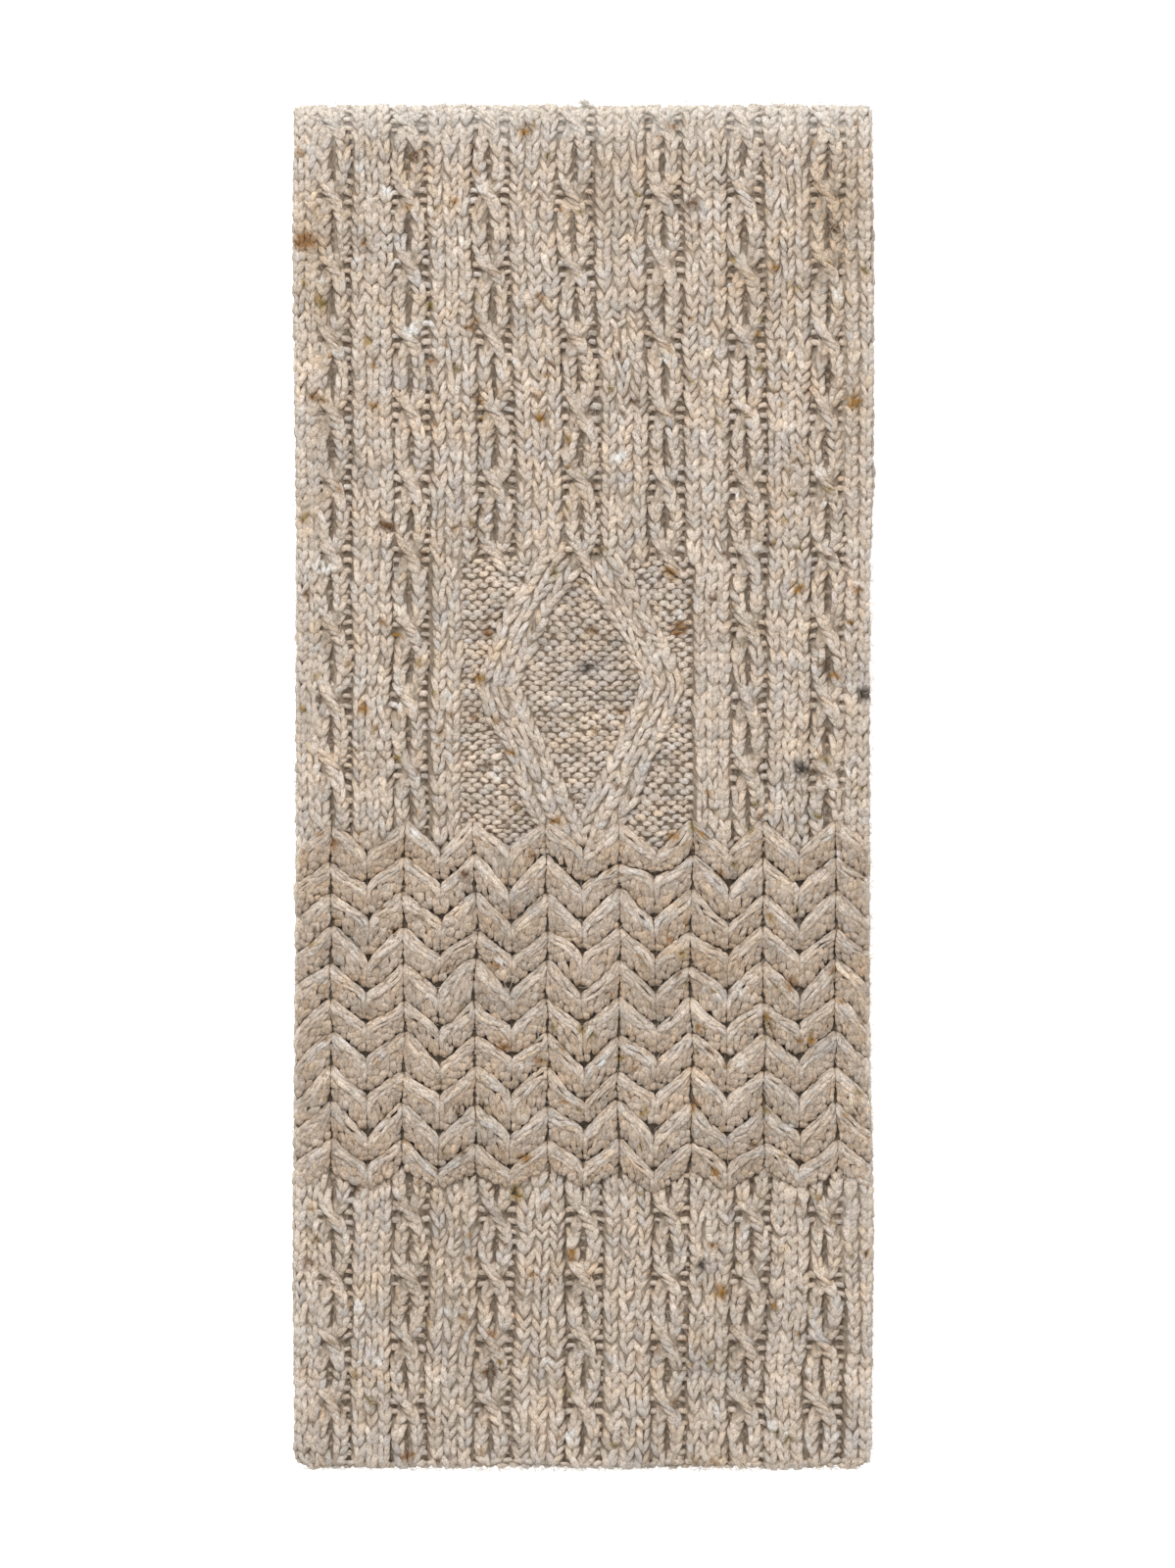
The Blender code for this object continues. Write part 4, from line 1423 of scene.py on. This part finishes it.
def new_material(name, inputs):
    material = bpy.data.materials.new(name)
    material.use_nodes = True
    shader = material.node_tree.nodes["Principled BSDF"]
    set_inputs(material.node_tree, shader, inputs)
    return material, material.node_tree, shader


def new_wool(name, roughness, sheen):
    return new_material(name, {
        "Roughness": roughness,
        "Specular IOR Level": 0.15,
        "Sheen Weight": sheen,
        "Sheen Roughness": 0.55,
        "Sheen Tint": (1.0, 0.95, 0.88, 1.0),
    })


def finish_wool(tree, shader, colour, height, strength, distance):
    """Links a wool's colour and its bump."""
    tree.links.new(colour, shader.inputs["Base Color"])
    bump = {"Height": height, "Strength": strength, "Distance": distance * MM}
    tree.links.new(add_node(tree, "Bump", bump), shader.inputs["Normal"])


def stretched_noise(tree, place, scale, detail):
    """Noise that is drawn out along the fibres."""
    moved = add_node(tree, "VectorMath", {0: place, 1: scale}, operation="MULTIPLY")
    return add_node(
        tree, "TexNoise", {"Vector": moved, "Scale": 1.0, "Detail": detail, "Roughness": 0.6}, "Fac"
    )


def yarn_material():
    """Soft marled wool: fibre streaks along the yarn in lighter and darker wool."""
    material, tree, shader = new_wool("marled_wool_yarn", 0.92, 0.12)
    tint = attribute(tree, "yarn_tint", "Color")
    place = attribute(tree, "fibre_place", "Vector")
    streak = stretched_noise(tree, place, (0.36, 1.15, 1.15), 4.0)
    hair = stretched_noise(tree, place, (0.9, 2.4, 2.4), 3.0)
    marl = ramp(tree, streak, [
        (0.33, (0.53, 0.48, 0.43)),
        (0.45, (0.86, 0.845, 0.825)),
        (0.54, (1.01, 1.01, 1.01)),
        (0.67, (1.16, 1.17, 1.18)),
    ])
    fine = ramp(tree, hair, [(0.3, (0.76, 0.74, 0.71)), (0.7, (1.14, 1.14, 1.15))])
    colour = multiplied(tree, multiplied(tree, tint, marl), fine)
    fuzz = calc(tree, "MULTIPLY_ADD", hair, 0.5, streak)
    finish_wool(tree, shader, colour, fuzz, 0.6, 0.45)
    return material


def shell_material(name, sheen):
    """Wool seen between the stitches and on the hidden sides, in colours of painted shade, with a
    knit relief whose low parts get more painted shade.
    """
    material, tree, shader = new_wool(name, 0.95, sheen)
    place = attribute(tree, "cloth_place", "Vector")
    tint = attribute(tree, "shell_shade_and_light_tint", "Color")
    axes = add_node(tree, "SeparateXYZ", {0: place}).node.outputs
    wale = calc(tree, "MULTIPLY", axes["X"], MM / WALE)
    across = calc(tree, "PINGPONG", wale, 0.5)
    course = calc(tree, "MULTIPLY", axes["Y"], MM / COURSE)
    slant = calc(tree, "MULTIPLY", across, -1.3)
    grain = calc(tree, "PINGPONG", calc(tree, "ADD", course, slant), 0.5)
    column = calc(tree, "MULTIPLY", calc(tree, "PINGPONG", wale, 0.25), 2.0)
    knit = calc(tree, "ADD", grain, column)
    noise = add_node(tree, "TexNoise", {"Vector": place, "Scale": 1.4, "Detail": 4.0}, "Fac")
    height = calc(tree, "MULTIPLY_ADD", noise, 0.35, knit)
    shade = ramp(tree, height, [
        (0.15, (0.62, 0.62, 0.62)), (0.75, (1.0, 1.0, 1.0)), (1.0, (1.15, 1.15, 1.15)),
    ])
    finish_wool(tree, shader, multiplied(tree, tint, shade), height, 0.9, 1.2)
    return material


def floor_material():
    material, tree, shader = new_material("white_floor", {
        "Roughness": 0.9, "Emission Color": (1.0, 1.0, 1.0, 1.0), "Emission Strength": 0.60,
    })
    noise = add_node(tree, "TexNoise", {"Scale": 3.0, "Detail": 2.0}, "Fac")
    colour = ramp(tree, noise, [(0.3, (0.93, 0.93, 0.93)), (0.7, (0.945, 0.945, 0.945))])
    tree.links.new(colour, shader.inputs["Base Color"])
    return material


# Stage.

IMAGE_HEIGHT = 1600
PIXEL = 280.0 * MM / 588.0
CAMERA_PLACE = (2.1 * MM, 0.7 * MM, 3.0)
SENSOR = 36.0
FACE_HEIGHT = 14.5 * MM
FLOOR_SIZE = 9.0
# Lights: place, size and power.
LIGHTS = {
    "key_top_left": ((-0.6, 2.0, 1.75), 1.2, 42.0),
    "fill_right": ((1.9, 0.1, 1.3), 1.0, 6.0),
}
WORLD_STRENGTH = 0.74


def add_camera():
    camera = bpy.data.cameras.new("camera")
    camera.sensor_width = SENSOR
    camera.lens = SENSOR * (CAMERA_PLACE[2] - FACE_HEIGHT) / (IMAGE_HEIGHT * PIXEL)
    camera.clip_end = 20.0
    bpy.context.scene.camera = add_object("camera", camera, CAMERA_PLACE)


def add_lights():
    for name, (place, size, power) in LIGHTS.items():
        light = bpy.data.lights.new(name, "AREA")
        light.size = size
        light.energy = power
        holder = add_object(name, light, place)
        holder.rotation_euler = (-Vector(place)).to_track_quat("-Z", "Y").to_euler()
    world = bpy.data.worlds.new("soft_white")
    world.use_nodes = True
    set_inputs(world.node_tree, world.node_tree.nodes["Background"], {
        "Color": (1.0, 1.0, 1.0, 1.0), "Strength": WORLD_STRENGTH,
    })
    bpy.context.scene.world = world


def add_floor():
    bpy.ops.mesh.primitive_plane_add(size=FLOOR_SIZE, location=(0.0, 0.0, -0.2 * MM))
    floor = bpy.context.object
    floor.name = "floor"
    floor.data.materials.append(floor_material())


# Putting the scarf together.

def dress(piece, material, slot):
    piece.data.materials.append(material)
    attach(piece, "root")


def front_yarn(rng):
    """All the yarn of the front stretch, as one piece for each kind of pattern."""
    half = CHEVRON_ROPES // 2
    groups = {
        "yarn_ribs_end": rib_stitches("end", rng),
        "yarn_ribs_diamond": rib_stitches("diamond", rng),
        "yarn_ribs_long": rib_stitches("long", rng),
        "yarn_cables": along_cables(cable_stitches, rng),
        "yarn_ladders": along_cables(ladder_beads, rng),
        "yarn_edges": edge_wales(rng),
        "yarn_diamond": diamond_bands(rng),
        "yarn_purl_field": purl_field(rng),
        "yarn_chevrons_left": chevron_stitches(range(half), rng),
        "yarn_chevrons_right": chevron_stitches(range(half, CHEVRON_ROPES), rng),
        "yarn_cast_on": cast_on_beads(rng),
    }
    return [yarn_piece(name, strands, front_place, rng) for name, strands in groups.items()]


def hidden_yarn(rng):
    """The yarn round the hidden layers' sides and fold."""
    pieces = [
        yarn_piece(name, strands, place, rng)
        for name, strands, place in list(selvedges(rng))
    ]
    beads = back_fold_beads(rng)
    return [*pieces, yarn_piece("yarn_back_fold", beads, back_fold_place, rng)]


def halo(rng):
    """Loose fibres by their maker and place, share of dark ones and colour."""
    face = (face_fibres, front_place, 0.30, YARN_COLOUR)
    kinds = {
        "wool_halo_face": face,
        "wool_halo_face_fine": face,
        "wool_halo_outline": (outline_fibres, stacked, 0.0, RIM_LIGHT_AND_HALO_COLOUR),
    }
    return [
        yarn_piece(name, make(rng), place, rng, FIBRE_SECTION, fibre_tints(rng, *look))
        for name, (make, place, *look) in kinds.items()
    ]


def main():
    yarn = yarn_material()
    shell = front_shell()
    dress(shell, shell_material("front_shell_wool", 0.0), "wool_front")
    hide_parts("front_stretch")
    inner = hidden_shell()
    dress(inner, shell_material("hidden_shell_wool", 0.1), "wool_inner")
    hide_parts("hidden_layers")
    front = front_yarn(np.random.default_rng(5)) + halo(np.random.default_rng(7))
    hidden = hidden_yarn(np.random.default_rng(6))
    for pieces, slot in ((front, "wool_front"), (hidden, "wool_inner")):
        for piece in pieces:
            dress(piece, yarn, slot)
    add_floor()
    add_camera()
    add_lights()
    bpy.context.scene.view_settings.view_transform = "Standard"


main()
